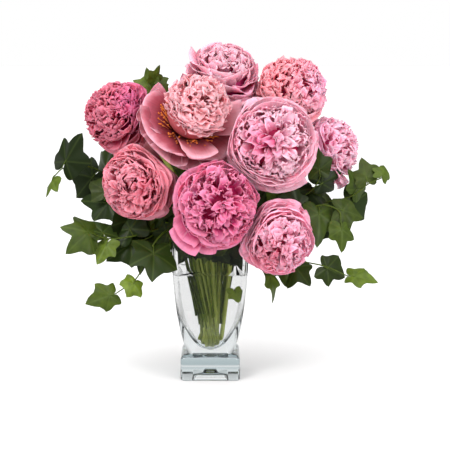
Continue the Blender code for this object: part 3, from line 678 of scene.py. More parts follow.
# %% Petal colours and material
PETAL_COLOURS = {
    # slot; first colour: deep, middle, edge; second colour: deep, middle, edge
    "far_left": ("petals_rose", "#bc2850 #c83e62 #ea8ea4", "#b4145a #c42a6e #e476a6"),
    "low_left": ("petals_pink", "#c8465e #d86c82 #f4a8b8", "#c0344c #d84a64 #ee90a4"),
    "open_pale": ("petals_blush", "#9c3c46 #bc5c70 #f4bccc", "#d87078 #ec949c #fac8d0"),
    "top": ("petals_mauve", "#d47898 #e89eb6 #f8cad8", "#c4387c #e070a0 #f4b0cc"),
    "top_right": ("petals_salmon", "#de5270 #f08296 #fcb8c2", "#d84484 #f080b0 #fcc8de"),
    "right_large": ("petals_light", "#e07ca0 #f4a8c4 #fcd2e0", "#cc2c64 #e4508c #f8a4c6"),
    "right_edge": ("petals_light", "#e07ca6 #f4a2c0 #fed6e6", "#d43c80 #ea74a6 #fabcd8"),
    "low_centre": ("petals_vivid", "#c02864 #d84e8a #f6a0c2", "#b41c58 #d43a7a #f292b8"),
    "low_right": ("petals_light", "#e0749c #f49cbc #fec8dc", "#cc3c62 #e45c84 #f6a0b6"),
}
PETAL_COLOURS["back_left"] = PETAL_COLOURS["low_left"]
PETAL_COLOURS["back_right"] = PETAL_COLOURS["far_left"]
PETAL_STOPS = (0.25, 0.60, 0.97)  # where along a petal its three colours are
VEINS_ACROSS = 26.0  # over a petal's width of 15 to 60 mm


def set_ramp(ramp, stops):
    """Put colours, each given as its place and its hex code, on a colour ramp."""
    stops = [(place, hex_colour(code)) for place, code in stops]
    for element, stop in ((ramp.elements[0], stops[0]), (ramp.elements[-1], stops[-1])):
        element.position, element.color = stop
    for place, colour in stops[1:-1]:
        ramp.elements.new(place).color = colour


def petal_material(name, *colours):
    material, tree, shader = new_material("peony_petal_" + name)  # moist, waxy petal tissue
    facts = add(tree, "Attribute", attribute_name="petal")
    along, tint, second = add(tree, "SeparateColor", Color=facts).outputs
    fibres = add(tree, "Mapping", Vector=add(tree, "UVMap"), Scale=(VEINS_ACROSS, 2.0, 1.0))
    veins = add(tree, "TexNoise", Vector=fibres, Scale=1.0, Detail=3.0)
    blotches = add(tree, "TexNoise", Vector=add(tree, "TexCoord").outputs["Object"], Scale=60.0,
                   Detail=2.0)
    uneven = add(tree, "Math", operation='MULTIPLY_ADD', i0=blotches, i1=0.35, i2=-0.175)
    share = add(tree, "Math", operation='ADD', i0=along, i1=uneven)
    # The side edges are painted paler: partly the pale rim of a peony petal, partly a painted
    # highlight along each edge.
    rim = add(tree, "Math", operation='POWER', i0=facts.outputs["Alpha"], i1=4.0)
    share = add(tree, "Math", operation='MULTIPLY_ADD', i0=rim, i1=0.25, i2=share)
    ramps = [add(tree, "ValToRGB", Fac=share) for _ in colours]
    for ramp, codes in zip(ramps, colours):
        set_ramp(ramp.color_ramp, zip(PETAL_STOPS, codes.split()))
    blend = add(tree, "Mix", data_type='RGBA', i0=second, i6=ramps[0], i7=ramps[1])
    streak = add(tree, "MapRange", Value=veins, From_Min=0.35, From_Max=0.65, To_Min=0.94,
                 To_Max=1.05)
    lift = add(tree, "MapRange", Value=tint, To_Min=0.86, To_Max=1.12)
    value = add(tree, "Math", operation='MULTIPLY', i0=streak, i1=lift)
    toned = add(tree, "HueSaturation", Color=blend, Value=value)
    relief = add(tree, "Bump", Height=veins, Strength=0.25, Distance=0.3 * MM)
    wire(shader, Base_Color=toned, Normal=relief, Roughness=0.55, IOR=1.4,
         Specular_IOR_Level=0.3, Subsurface_Weight=0.3, Subsurface_Radius=(1.0, 0.35, 0.30),
         Subsurface_Scale=2.0 * MM)
    through = add(tree, "BsdfTranslucent", Color=toned, Normal=relief)
    thin = add(tree, "MixShader", i0=0.45, i1=shader, i2=through)
    wire(tree.nodes["Material Output"], Surface=thin)
    return material


for name, (slot, *colours) in PETAL_COLOURS.items():
    finish(peonies[name], "bloom_" + name, slot, petal_material(name, *colours))
print("petal finishes:", len(PETAL_COLOURS))

# %% [markdown]
# ## Stems and vines in the vase
# Cut stems cross each other in the water, as a hand-tied bunch does. Each keeps the line of its
# plain solid, with more steps and rounder sides. A bloom's stem swells under the petals into
# its receptacle, and a few sepals cup the petals from below.

# %% The lines that the stems follow, in millimetres
RIM_HEIGHT = 205.0
NECK_HEIGHT, NECK_WIDTH = 36.0, 64.0  # where the body stands on the foot
FLARE, FLARE_FADE = 48.0, 65.0
CAVITY_FLOOR = 40.0
RIM_WALL, FLOOR_WALL, WALL_FADE = 3.6, 18.0, 22.0  # the wall is thickest at the floor
GATHER_HEIGHT, GATHER_TURN, GATHER_SHARE = 50.0, 60.0, 0.35  # the stems' spiral in the water
MOUTH_SPREAD, MOUTH_ROOM = 44.0, 45.0  # how far out stems start and may end up at the rim
STEM_GAP, VINE_GAP, PUSHES = 20.5, 11.5, 300  # they are pushed apart to these gaps
FORWARD = (0.0, -0.90, 0.35)


def bezier(knots, share):
    while len(knots) > 1:
        knots = [first.lerp(second, share) for first, second in zip(knots, knots[1:])]
    return knots[0]


def smooth_line(points, steps):
    """Points along a smooth curve through the given ones."""
    knots = [Vector(point) for point in points]
    knots = [2 * knots[0] - knots[1]] + knots + [2 * knots[-1] - knots[-2]]
    line = []
    for before, start, end, after in zip(knots, knots[1:], knots[2:], knots[3:]):
        bends = [start, start + (end - before) / 6, end - (after - start) / 6, end]
        line += [bezier(bends, step / steps) for step in range(steps)]
    return line + [knots[-2]]


def body_half_width(height):
    """Half the vase's width, which flares above its neck."""
    return (NECK_WIDTH + FLARE * (1 - math.exp((NECK_HEIGHT - height) / FLARE_FADE))) / 2


def cavity_half_width(height):
    thicker = FLOOR_WALL * math.exp((CAVITY_FLOOR + 5 - height) / WALL_FADE)
    return body_half_width(height) - RIM_WALL - thicker


VINES = {
    # the line above the rim, the way the leaves face, and each leaf's place on the line, heading
    # in degrees and length
    "left_high": (((-60, 20, 216), (-100, 34, 234), (-130, 38, 257), (-155, 28, 286),
                   (-179, 10, 296), (-204, 0, 294), (-216, -6, 284)), (-0.35, -0.85, 0.35),
                  ((2.0, -60, 38), (2.7, -15, 40), (3.1, -136, 43), (5.2, 38, 43),
                   (6.0, -160, 25))),
    "left_mid": (((-62, 8, 214), (-101, 6, 230), (-131, -4, 244), (-147, -14, 251)), FORWARD,
                 ((1.0, 172, 42), (1.3, -145, 44), (2.0, -78, 39), (3.0, 8, 38))),
    "left_out": (((-60, -14, 213), (-106, -30, 203), (-139, -34, 200), (-157, -36, 205)),
                 FORWARD, ((1.0, -30, 42), (2.0, -165, 30), (2.2, -10, 36), (3.0, -80, 40))),
    "left_low": (((-55, -30, 213), (-73, -50, 201), (-87, -58, 177), (-101, -60, 149),
                  (-129, -60, 128)), FORWARD, ((1.3, -172, 42), (3.0, -150, 25), (4.0, -110, 33))),
    "left_under": (((-59, -4, 213), (-92, -18, 196), (-122, -22, 197)), FORWARD,
                   ((0.95, -176, 36), (1.2, -125, 40))),
    "top_left": (((-34, 30, 257), (-70, 48, 342), (-83, 50, 390), (-82, 46, 408)), FORWARD,
                 ((2.3, 80, 22), (2.5, -60, 22), (2.8, 50, 24), (2.9, -35, 24), (3.0, 20, 22))),
    "right_high": (((67, 30, 225), (121, 28, 234), (166, 18, 244), (199, 8, 254),
                    (220, 2, 271), (239, -4, 281)), (0.35, -0.85, 0.35),
                   ((1.4, 165, 38), (2.0, 200, 42), (2.6, 130, 40), (3.0, 50, 34),
                    (4.0, -10, 31), (5.0, 30, 23))),
    "right_top": (((66, 20, 226), (114, 10, 244), (142, -14, 266), (152, -28, 286)),
                  (0.10, -1.00, -0.05), ((1.5, -50, 36), (2.2, 70, 36), (3.0, -8, 31))),
    "right_mid": (((68, 6, 219), (125, -18, 236), (155, -28, 246), (177, -34, 239),
                   (180, -42, 223)), FORWARD,
                  ((1.2, -75, 38), (1.8, 190, 40), (2.7, 100, 36), (4.0, 182, 30))),
    "right_low": (((58, -2, 212), (86, -10, 187), (125, -24, 168), (159, -32, 161),
                   (191, -38, 148)), FORWARD,
                  ((1.4, 175, 36), (2.0, -165, 36), (2.8, 110, 36), (4.0, 110, 32))),
    "right_vase": (((57, -22, 212), (80, -36, 184), (80, -42, 158)), (0.80, -0.55, 0.10),
                   ((2.0, -165, 33),)),
    "mouth_front": (((17, -45, 210), (22, -44, 218)), (0.10, -1.00, -0.05), ((0.0, 182, 24),)),
    "back_left": (((-50, 52, 214), (-92, 86, 216), (-124, 86, 244)), (-0.45, 0.80, 0.35),
                  ((0.9, -160, 46), (1.4, -20, 42), (2.0, -75, 42))),
    "back_middle": (((-4, 60, 216), (0, 86, 220), (2, 104, 236)), (0.0, 0.90, 0.35),
                    ((1.0, 160, 44), (2.0, 60, 40))),
    "back_right": (((50, 52, 214), (96, 84, 214), (134, 76, 238)), (0.45, 0.80, 0.35),
                   ((0.9, 160, 46), (1.4, 20, 42), (2.0, 75, 42))),
}


def mouth_points():
    """Where each stem and vine crosses the rim: under its bloom, then pressed apart."""
    places = {}
    for name, (centre, _, _) in BLOOMS.items():
        centre = Vector(centre)
        lean = math.atan2(centre.xy.length, centre.z - RIM_HEIGHT)
        places["stem_" + name] = centre.xy.normalized() * MOUTH_SPREAD * lean / (math.pi / 2)
    for name, (points, _, _) in VINES.items():
        places["ivy_" + name] = Vector(points[0]).xy.normalized() * MOUTH_SPREAD
    names = list(places)
    for _ in range(PUSHES):
        for index, first in enumerate(names):
            for second in names[index + 1:]:
                apart = places[second] - places[first]
                stems = first.startswith("stem") and second.startswith("stem")
                short = (STEM_GAP if stems else VINE_GAP) - apart.length
                if short > 0:
                    push = apart.normalized() * short / 2
                    places[first] -= push
                    places[second] += push
        for name in names:
            if places[name].length > MOUTH_ROOM:
                places[name] = places[name].normalized() * MOUTH_ROOM
    return {name: Vector((*place, RIM_HEIGHT)) for name, place in places.items()}


def gathered(mouth, height):
    """Where a stem through this point of the mouth is at a lower level."""
    share = (RIM_HEIGHT - height) / (RIM_HEIGHT - GATHER_HEIGHT)
    low = Matrix.Rotation(math.radians(GATHER_TURN), 2) @ mouth.xy * GATHER_SHARE
    return Vector((*mouth.xy.lerp(low, share), height))


MOUTHS = mouth_points()
print("stems and vines in the mouth:", len(MOUTHS))

# %% Rods


def edit_all():
    """Edit the active piece, with all of it selected."""
    bpy.ops.object.mode_set(mode='EDIT')
    bpy.ops.mesh.select_all(action='SELECT')


def rod(line, radii, sides=12):
    """A closed round rod along points in millimetres, with a radius at each."""
    only()
    bpy.ops.curve.primitive_nurbs_path_add()
    piece = bpy.context.object
    curve = piece.data
    curve.splines.clear()
    spline = curve.splines.new('POLY')
    spline.points.add(len(line) - 1)
    for knot, point, radius in zip(spline.points, line, radii):
        knot.co = (*(Vector(point) * MM), 1.0)
        knot.radius = radius
    curve.bevel_depth = MM
    curve.bevel_resolution = sides // 2 - 2
    curve.use_fill_caps = True
    bpy.ops.object.convert(target='MESH')
    edit_all()
    bpy.ops.mesh.remove_doubles(threshold=0.01 * MM)
    bpy.ops.mesh.normals_make_consistent(inside=False)
    bpy.ops.object.mode_set(mode='OBJECT')
    return piece


# %% Peony stems with their sepals
STEM_RADIUS = 3.0
STEM_STEPS = 14
SEAT = -0.44  # where a stem ends in its bloom, in the bloom's own units
SEPAL_LINE = [Vector((0.06, -0.46)), Vector((0.36, -0.60)), Vector((0.60, -0.54))]
SEPAL_SKIN = 0.8


def sepal_points(name, turn, draw):
    """A sepal: broad at its root, pointed, and cupped round the petals."""
    spin = np.array(spin_about('Z', turn))
    points = []
    bend = draw.uniform(-0.04, 0.04)
    for across, up in zip(BROAD_GRID["across"], BROAD_GRID["up"]):
        distance, height = bezier(SEPAL_LINE, up)
        half = 0.13 * (0.55 + 0.9 * up) * (1 - up ** 3.0) ** 0.8
        height += 0.35 * half * across ** 2 + bend * up ** 2
        points.append(bloom_point(name, spin @ np.array((distance, half * across, height))))
    return points


stems = {}
for name, (_, radius, facing) in BLOOMS.items():
    draw = random.Random("stem " + name)
    mouth = MOUTHS["stem_" + name]
    low = CAVITY_FLOOR + 3.0  # the stem comes down until it would touch the cavity's slope
    while cavity_half_width(low) < gathered(mouth, low).xy.length + 4.5:
        low += 0.5
    foot = gathered(mouth, low)
    outwards = Vector(facing).normalized()
    end = Vector(bloom_point(name, (0, 0, SEAT)))
    span = (end - mouth).length
    knots = [mouth, mouth + (mouth - foot).normalized() * 0.35 * span,
             end - outwards * 0.28 * span, end]
    line = [foot] + [bezier(knots, step / STEM_STEPS) for step in range(STEM_STEPS)]
    radii = [STEM_RADIUS * draw.uniform(0.96, 1.04) for _ in line]
    swelling = ((0.16, 3.3), (0.10, 0.085 * radius), (0.05, 0.13 * radius),
                (0.015, 0.165 * radius), (0.0, 0.17 * radius))
    line += [end - outwards * back * radius for back, _ in swelling]
    stem = rod(line, radii + [size for _, size in swelling])
    mark(stem, "plant", (0.0, draw.random(), 0.0, 1.0))
    sepals = []
    for index in range(5):
        turn = 36 + 72 * index + draw.uniform(-10, 10)
        sepals.append(copy_of(BROAD_GRID["blank"], sepal_points(name, turn, draw)))
    cup = join(sepals, "sepals")
    thicken(cup, SEPAL_SKIN)
    mark(cup, "plant", (1.0, draw.random(), 0.0, 1.0))
    stems[name] = join([stem, cup], "cut_stem_" + name)
    smooth(stems[name], 50)
print("stems:", len(stems), "faces:", sum(len(stem.data.polygons) for stem in stems.values()))

# %% [markdown]
# ## Stamens
# The open pale peony shows its golden stamens between the flat guard petals and the raised
# ball. One stamen is a thin filament with a plump anther; 230 copies stand in a ring.

# %% Stamens
STAMENS = 230
only()
bpy.ops.mesh.primitive_cylinder_add(vertices=5, radius=0.35, depth=1.0)
filament = bpy.context.object
only()
bpy.ops.mesh.primitive_ico_sphere_add(subdivisions=1, radius=1.0)
anther = bpy.context.object
thread_points = points_of(filament.data) + (0, 0, 0.5)
grain_points = points_of(anther.data) * (1.1, 1.1, 2.5)
draw = random.Random("stamens")
tufts = []
for index in range(STAMENS):
    turn = np.array(spin_about('Z', index * GOLDEN_ANGLE))
    rise = draw.uniform(0.0, 0.30)
    tip = np.array((draw.uniform(0.42, 0.64), draw.uniform(-0.06, 0.06), -0.26 + rise))
    root = bloom_point("open_pale", turn @ np.array((0.24, 0, -0.30)))
    tip = bloom_point("open_pale", turn @ tip)
    ahead = Vector(tip - root)
    lie = np.array(ahead.to_track_quat('Z', 'Y').to_matrix()).T
    for blank, points, part in ((filament, thread_points * (1, 1, ahead.length) @ lie + root, 0.0),
                                (anther, grain_points @ lie + tip, 1.0)):
        tufts.append(copy_of(blank, points))
        mark(tufts[-1], "plant", (part, draw.random(), 0.0, 1.0))
golden = join(tufts, "golden_stamens")
smooth(golden)
print("stamens:", STAMENS, "faces:", len(golden.data.polygons))

# %% [markdown]
# ## Ivy
# An ivy leaf has five pointed lobes with rounded bays between them, a heart-shaped base and a
# vein to each lobe. A blank disc is bent to that outline, drooped at its tips and creased along
# its middle. Young leaves have shallower lobes and are yellower.

# %% Leaf blanks and leaf shape


def leaf_disc(name, points, rings):
    """A flat disc of this many points round, with each point's angle and share of the reach."""
    only()
    bpy.ops.mesh.primitive_circle_add(vertices=points, radius=1.0, fill_type='NGON')
    blank = bpy.context.object
    edit_all()
    for _ in range(rings):
        bpy.ops.mesh.inset(thickness=0.95 / (rings + 1))
    bpy.ops.mesh.poke()
    bpy.ops.object.mode_set(mode='OBJECT')
    across, ahead = points_of(blank.data)[:, :2].T
    print(name + ":", len(blank.data.polygons), "faces")
    return {"blank": blank, "angle": np.degrees(np.arctan2(across, ahead)),
            "share": np.minimum(np.hypot(across, ahead), 1.0)}


VINE_DISC = leaf_disc("vine leaf", 48, 4)
PACKED_DISC = leaf_disc("packed leaf", 24, 2)
GROWN = 38  # a vine's leaf longer than this has deep lobes
LEAF_SKIN = 0.5
STALK_RADIUS, STALK_SHARE = 0.65, 0.32  # its length is a share of the blade's
# Each outline gives the blade's reach at angles from its tip, in degrees.
GROWN_LEAF = ((0, 1.00), (30, 0.66), (60, 0.90), (93.75, 0.60), (127.5, 0.74), (180, 0.10))
YOUNG_LEAF = ((0, 1.00), (30, 0.60), (60, 0.78), (93.75, 0.52), (127.5, 0.58), (180, 0.10))
PACKED_LEAF = ((0, 1.00), (30, 0.66), (60, 0.90), (90, 0.60), (120, 0.74), (180, 0.10))


def leaf_reach(angles, outline):
    """The blade's reach at each angle from its tip, pointed at the lobes."""
    reach = np.zeros(len(angles))
    angles = np.abs(angles)
    for (start, first), (end, second) in zip(outline, outline[1:]):
        inside = (angles >= start) & (angles <= end)
        share = (angles[inside] - start) / (end - start)
        if first > second:
            share = 1 - (1 - share) ** (1.35 if end < 180 else 0.6)
        elif start < 115:
            share = share ** 1.35
        reach[inside] = first + (second - first) * share
    return reach


def leaf_points(disc, base, along, facing, length, draw):
    """The blade's points in millimetres, and its flat places in units of its length."""
    across = along.cross(facing)
    outline = PACKED_LEAF if disc is PACKED_DISC else GROWN_LEAF if length > GROWN else YOUNG_LEAF
    angle = np.radians(disc["angle"])
    uneven = 0.10 * np.sin(2 * angle + draw.uniform(0, 6))
    uneven = uneven + 0.06 * np.sin(7 * angle + draw.uniform(0, 6))
    fade = np.minimum(1, (180 - np.abs(disc["angle"])) / 40)  # towards the stalk
    reach = disc["share"] * (leaf_reach(disc["angle"], outline) * (1 + uneven * fade))
    side, ahead = reach * np.sin(angle), reach * np.cos(angle)
    away = np.hypot(side, ahead)
    wave = 0.06 * np.sin(angle * 5 + draw.uniform(0, 6)) * away
    curl = draw.uniform(0.05, 0.35)
    droop = curl * away ** 2 + draw.uniform(-0.15, 0.35) * np.abs(side) + wave
    points = np.array(base) + length * (np.outer(side, across) + np.outer(ahead, along)
                                        - np.outer(droop, facing))
    return points, side, ahead


# %% Vines with their leaves
GREEN_STALK = (0.0, 0.0, 0.5, 0.6)
VINE_FOOT = 98.0  # height of the highest cut end in the water


def add_leaf(disc, root, along, facing, length, youth, draw):
    """One ivy leaf: its blade, and the stalk that it hangs on."""
    along = (along - facing * along.dot(facing)).normalized()
    base = root + along * length * STALK_SHARE
    points, side, ahead = leaf_points(disc, base, along, facing, length, draw)
    blade = copy_of(disc["blank"], points)
    tone = draw.random() if youth <= 1 else 1.0
    mark(blade, "plant", [(0.5 * s + 0.5, 0.5 * a + 0.5, tone, youth) for s, a in zip(side, ahead)])
    bend = [root, root.lerp(base, 0.5) + facing * 0.03 * length, base + along * 0.05 * length]
    steps = 1 if disc is PACKED_DISC else 3
    stalk = rod(smooth_line(bend, steps), [STALK_RADIUS] * (2 * steps + 1), 6)
    mark(stalk, "plant", GREEN_STALK)
    return blade, stalk


def join_leafy(stalks, blades, name):
    """Stalks and blades as one piece, with the blades given their thickness."""
    sheet = join(blades, "blades")
    thicken(sheet, LEAF_SKIN)
    piece = join(stalks + [sheet], name)
    smooth(piece, 60)
    return piece


def grow_vine(name):
    draw = random.Random("vine " + name)
    points, facing, leaves = VINES[name]
    facing = Vector(facing).normalized()
    mouth = MOUTHS["ivy_" + name]
    bottom = gathered(mouth, VINE_FOOT - 5.0 * (len(name) % 7))
    coarse, fine = ([bottom] + smooth_line([mouth, *points], steps) for steps in (2, 8))
    vine = rod(fine, [1.3 - 0.5 * step / len(fine) for step in range(len(fine))], 8)
    mark(vine, "plant", GREEN_STALK)
    stalks, blades = [vine], []
    for place, heading, length in leaves:
        knot = (place + 1) * 2 + 1
        before = min(int(knot), len(coarse) - 2)
        root = coarse[before].lerp(coarse[before + 1], min(knot - before, 0.9))
        along = spin_about('Y', heading) @ Vector((0, 0, 1))
        tilt = facing + Vector([draw.uniform(-0.6, 0.6) for _ in range(3)])
        youth = min(max((40 - length) / 24 + draw.uniform(-0.3, 0.3), 0), 1)
        blade, stalk = add_leaf(VINE_DISC, root, along, tilt.normalized(), length, youth, draw)
        blades.append(blade)
        stalks.append(stalk)
    return join_leafy(stalks, blades, "trailing_ivy_" + name)


ivy = {name: grow_vine(name) for name in VINES}
print("vines:", len(ivy), "faces:", sum(len(vine.data.polygons) for vine in ivy.values()))

# %% [markdown]
# ## Greenery packed between the blooms
# A florist fills the room between the blooms with short sprigs of the same ivy, so that no bare
# stems show. They stand behind and under the blooms and in the vase's mouth. Between the peony
# stems in the water are the bare canes of the greenery, stripped of their leaves.

# %% Packed sprigs and stripped canes
SPRIG_ZONES = (
    # middle of the zone, its radii, the way its leaves face, sprigs, leaves on each, leaf length
    ((-104, 12, 222), (42, 18, 26), (-0.2, -0.9, 0.3), 7, 5, (24, 36)),
    ((130, 10, 226), (46, 18, 24), (0.2, -0.9, 0.3), 7, 5, (24, 36)),
    ((-20, 8, 250), (48, 30, 34), (-0.1, -0.8, 0.5), 6, 4, (32, 42)),
    ((44, 0, 262), (36, 30, 34), (0.1, -0.8, 0.5), 5, 4, (32, 42)),
    ((-58, -22, 212), (10, 16, 12), (-0.3, -0.9, 0.1), 2, 3, (28, 36)),
    ((52, -34, 204), (10, 14, 12), (0.3, -0.9, 0.1), 2, 3, (26, 34)),
    ((0, 70, 250), (84, 26, 44), (0.0, 0.9, 0.3), 8, 4, (34, 44)),
    ((-52, -34, 308), (12, 16, 26), (0.0, -1.0, 0.1), 3, 3, (28, 34)),
    ((30, -30, 318), (22, 20, 18), (0.0, -1.0, 0.2), 3, 3, (28, 34)),
    ((2, -26, 198), (36, 12, 12), (0.0, -1.0, 0.2), 8, 4, (22, 30)),
    ((-33, -27, 184), (7, 7, 10), (-0.2, -1.0, 0.1), 2, 3, (18, 24)),
    ((36, -27, 182), (6, 7, 12), (0.2, -1.0, 0.1), 3, 3, (18, 24)),
    ((8, 84, 352), (60, 16, 40), (0.0, 0.9, 0.3), 7, 4, (30, 40)),
)
TRIES = 40  # places that are tried for a leaf before it is left out
CANES = 36


def keep_in_mouth(blade):
    """Hold what hangs below the rim inside the vase's wall."""
    points = points_of(blade.data)
    for place in np.flatnonzero(points[:, 2] < (RIM_HEIGHT + 3) * MM):
        room = (cavity_half_width(min(points[place, 2] / MM, RIM_HEIGHT)) - 2.5) * MM
        points[place, :2] = np.clip(points[place, :2], -room, room)
    move_points(blade.data, points)


def inside_a_bloom(point, margin):
    return any((Vector(centre) - point).length < radius + margin
               for centre, radius, _ in BLOOMS.values())


def any_way(draw, reach):
    return Vector([draw.uniform(-reach, reach) for _ in range(3)])


draw = random.Random("packed sprigs")
blades, stalks = [], []
for middle, radii, facing, sprigs, leaves, lengths in SPRIG_ZONES:
    for _ in range(sprigs):
        while True:
            away = any_way(draw, 1)
            end = Vector(middle) + away * Vector(radii)
            if away.length < 1 and not inside_a_bloom(end, 2):
                break
        mouth = Vector((*(end.xy.normalized() * draw.uniform(16, 42)), RIM_HEIGHT))
        low = gathered(mouth, draw.uniform(70, 110))
        arc = [mouth, mouth + (mouth - low).normalized() * 0.4 * (end - mouth).length, end]
        stem = rod([low] + [bezier(arc, step / 10) for step in range(11)],
                   [1.2] * 8 + [0.9] * 4, 8)
        mark(stem, "plant", (0.0, 0.0, 0.9, 1.1))
        stalks.append(stem)
        for _ in range(leaves):
            for _ in range(TRIES):
                root = bezier(arc, draw.uniform(0.55, 1.0))
                along = any_way(draw, 1).normalized()
                turned = (Vector(facing) + any_way(draw, 0.6)).normalized()
                length = draw.uniform(*lengths)
                tip = root + (along - turned * along.dot(turned)).normalized() * length * 1.3
                if not inside_a_bloom(tip, 1) and not inside_a_bloom(root.lerp(tip, 0.6), 1):
                    youth = draw.uniform(0.0, 0.35)
                    blade, stalk = add_leaf(PACKED_DISC, root, along, turned, length, youth, draw)
                    if max(abs(root.x), abs(root.y)) < 45.0 and root.z < RIM_HEIGHT + 12:
                        keep_in_mouth(blade)
                    blades.append(blade)
                    stalks.append(stalk)
                    break
# One young leaf has slipped down into the water.
blade, stalk = add_leaf(PACKED_DISC, Vector((33, -34, 131)), Vector((0.25, 0, -1.0)),
                        Vector((0.25, -1.0, 0.35)).normalized(), 17, 2.0, draw)
keep_in_mouth(blade)
leaf_count = len(blades) + 1
packed = join_leafy(stalks + [stalk], blades + [blade], "packed_ivy")

canes = []
for index in range(CANES):
    turn = math.radians(index * GOLDEN_ANGLE)
    away = 43.0 * math.sqrt((index + 0.5) / CANES)
    mouth = Vector((away * math.cos(turn), away * math.sin(turn), RIM_HEIGHT))
    spin = Matrix.Rotation(math.radians(draw.uniform(60, 200)), 2)
    low = spin @ mouth.xy * draw.uniform(0.20, 0.45)
    bottom = Vector((*low, 44.0 + 0.5 * low.length))
    line = [bottom, bottom.lerp(mouth, 0.5), mouth, mouth + (mouth - bottom) * 0.06]
    canes.append(rod(line, [draw.uniform(1.2, 2.3)] * 4, 10))
    mark(canes[-1], "plant", (0.0, draw.random(), 0.5, 0.5))
canes = join(canes, "stripped_stems")
smooth(canes, 60)
print("packed leaves:", leaf_count, "faces:", len(packed.data.polygons))

# %% [markdown]
# ## Plant finishes
# Ivy is dark and waxy, with paler veins and a soft shine. Peony stems are smoother and
# yellower. Anthers are a matt golden orange on paler threads.

# %% Green and golden materials


def plant_material(name, scale):
    """The start of a plant's finish, with the piece's four numbers and a fine mottle."""
    material, tree, shader = new_material(name)
    facts = add(tree, "Attribute", attribute_name="plant")
    parts = add(tree, "SeparateColor", Color=facts).outputs
    mottle = add(tree, "TexNoise", Vector=add(tree, "TexCoord").outputs["Object"], Scale=scale,
                 Detail=4.0)
    return material, tree, shader, parts, facts.outputs["Alpha"], mottle


def leaf_material(name, dark, fresh, vein):
    material, tree, shader, parts, youth, mottle = plant_material(name, 110.0)
    side, ahead = (add(tree, "Math", operation='MULTIPLY_ADD', i0=part, i1=2.0, i2=-1.0)
                   for part in parts[:2])
    side = add(tree, "Math", operation='ABSOLUTE', i0=side)
    flat = add(tree, "CombineXYZ", X=side, Y=ahead)
    nearest = None  # how far the nearest of the five veins is
    for angle in (0.0, 60.0, 127.5):
        turn = math.radians(angle)
        ray = add(tree, "VectorMath", operation='DOT_PRODUCT', i0=flat,
                  i1=(math.cos(turn), -math.sin(turn), 0))
        ray = add(tree, "Math", operation='ABSOLUTE', i0=ray)
        nearest = add(tree, "Math", operation='MINIMUM', i0=ray, i1=nearest) if nearest else ray
    veined = add(tree, "MapRange", Value=nearest, From_Min=0.008, From_Max=0.045, To_Min=0.25,
                 To_Max=0.0)
    youth = add(tree, "Math", operation='MULTIPLY', i0=youth, i1=mottle)
    youth = add(tree, "Math", operation='MULTIPLY', i0=youth, i1=1.3)
    blade = add(tree, "Mix", data_type='RGBA', i0=youth, i6=hex_colour(dark), i7=hex_colour(fresh))
    lined = add(tree, "Mix", data_type='RGBA', i0=veined, i6=blade, i7=hex_colour(vein))
    lift = add(tree, "MapRange", Value=parts[2], To_Min=0.65, To_Max=1.45)
    toned = add(tree, "HueSaturation", Color=lined, Value=lift)
    relief = add(tree, "Bump", Height=veined, Strength=0.4, Distance=0.5 * MM, invert=True)
    wire(shader, Base_Color=toned, Normal=relief, Roughness=0.45, IOR=1.45,
         Specular_IOR_Level=0.25)
    return material


def two_tone(name, low, high, roughness, by):
    """One colour turning into another by one of the piece's numbers, with a fine mottle."""
    material, tree, shader, parts, _, mottle = plant_material(name, 90.0)
    mixed = add(tree, "Math", operation='MULTIPLY_ADD', i0=mottle, i1=0.6, i2=parts[by])
    mixed = add(tree, "Math", operation='MULTIPLY', i0=mixed, i1=0.7)
    blend = add(tree, "Mix", data_type='RGBA', i0=mixed, i6=hex_colour(low), i7=hex_colour(high))
    relief = add(tree, "Bump", Height=mottle, Strength=0.3, Distance=0.2 * MM)
    wire(shader, Base_Color=blend, Normal=relief, Roughness=roughness, Specular_IOR_Level=0.2)
    return material


IVY_LEAF = leaf_material("waxy_ivy_leaf", "#1c2a08", "#5e7018", "#4c5c26")  # dark waxy leaf
STEM_SKIN = two_tone("smooth_peony_stem", "#44560c", "#c6d26a", 0.45, "Green")  # cut green stem
ANTHER = two_tone("golden_anther", "#e08c54", "#d87830", 0.7, "Red")  # matt pollen on threads
for name, vine in ivy.items():
    finish(vine, "ivy_" + name, "ivy_green", IVY_LEAF)
finish(packed, None, "ivy_green", IVY_LEAF)
finish(canes, None, "stem_green", STEM_SKIN)
for name, stem in stems.items():
    finish(stem, "stem_" + name, "stem_green", STEM_SKIN)
finish(golden, "stamens", "stamens", ANTHER)
print("plant finishes:", IVY_LEAF.name, STEM_SKIN.name, ANTHER.name)

# %% [markdown]
# ## Vase and water
# The vase is pressed from clear glass: a square block foot, then a square body with round
# corners that flares to its mouth. Its wall is thick at the bottom of the cavity. A tower of
# rings is extruded first, and each ring is then moved to its real outline. The water overlaps
# the wall by a hair, so that light passes from glass to water as if they touched.

# %% A tower of rings
RING_POINTS = 48
BOWL_TOP, BOWL_RADIUS, BOWL_FLOOR = 50.0, 26.9, 42.3  # the rounded bottom of the cavity


def rounded_square(half_width, corner, height):
    """Points round a square with round corners, anticlockwise from above."""
    inset = half_width - corner
    steps = RING_POINTS // 4
    angles = [math.radians(90 * step / (steps - 1)) for step in range(steps)]
    return [spin_about('Z', turn) @ Vector((inset + corner * math.cos(angle),
                                            inset + corner * math.sin(angle), height))
            for turn in (0, 90, 180, 270) for angle in angles]


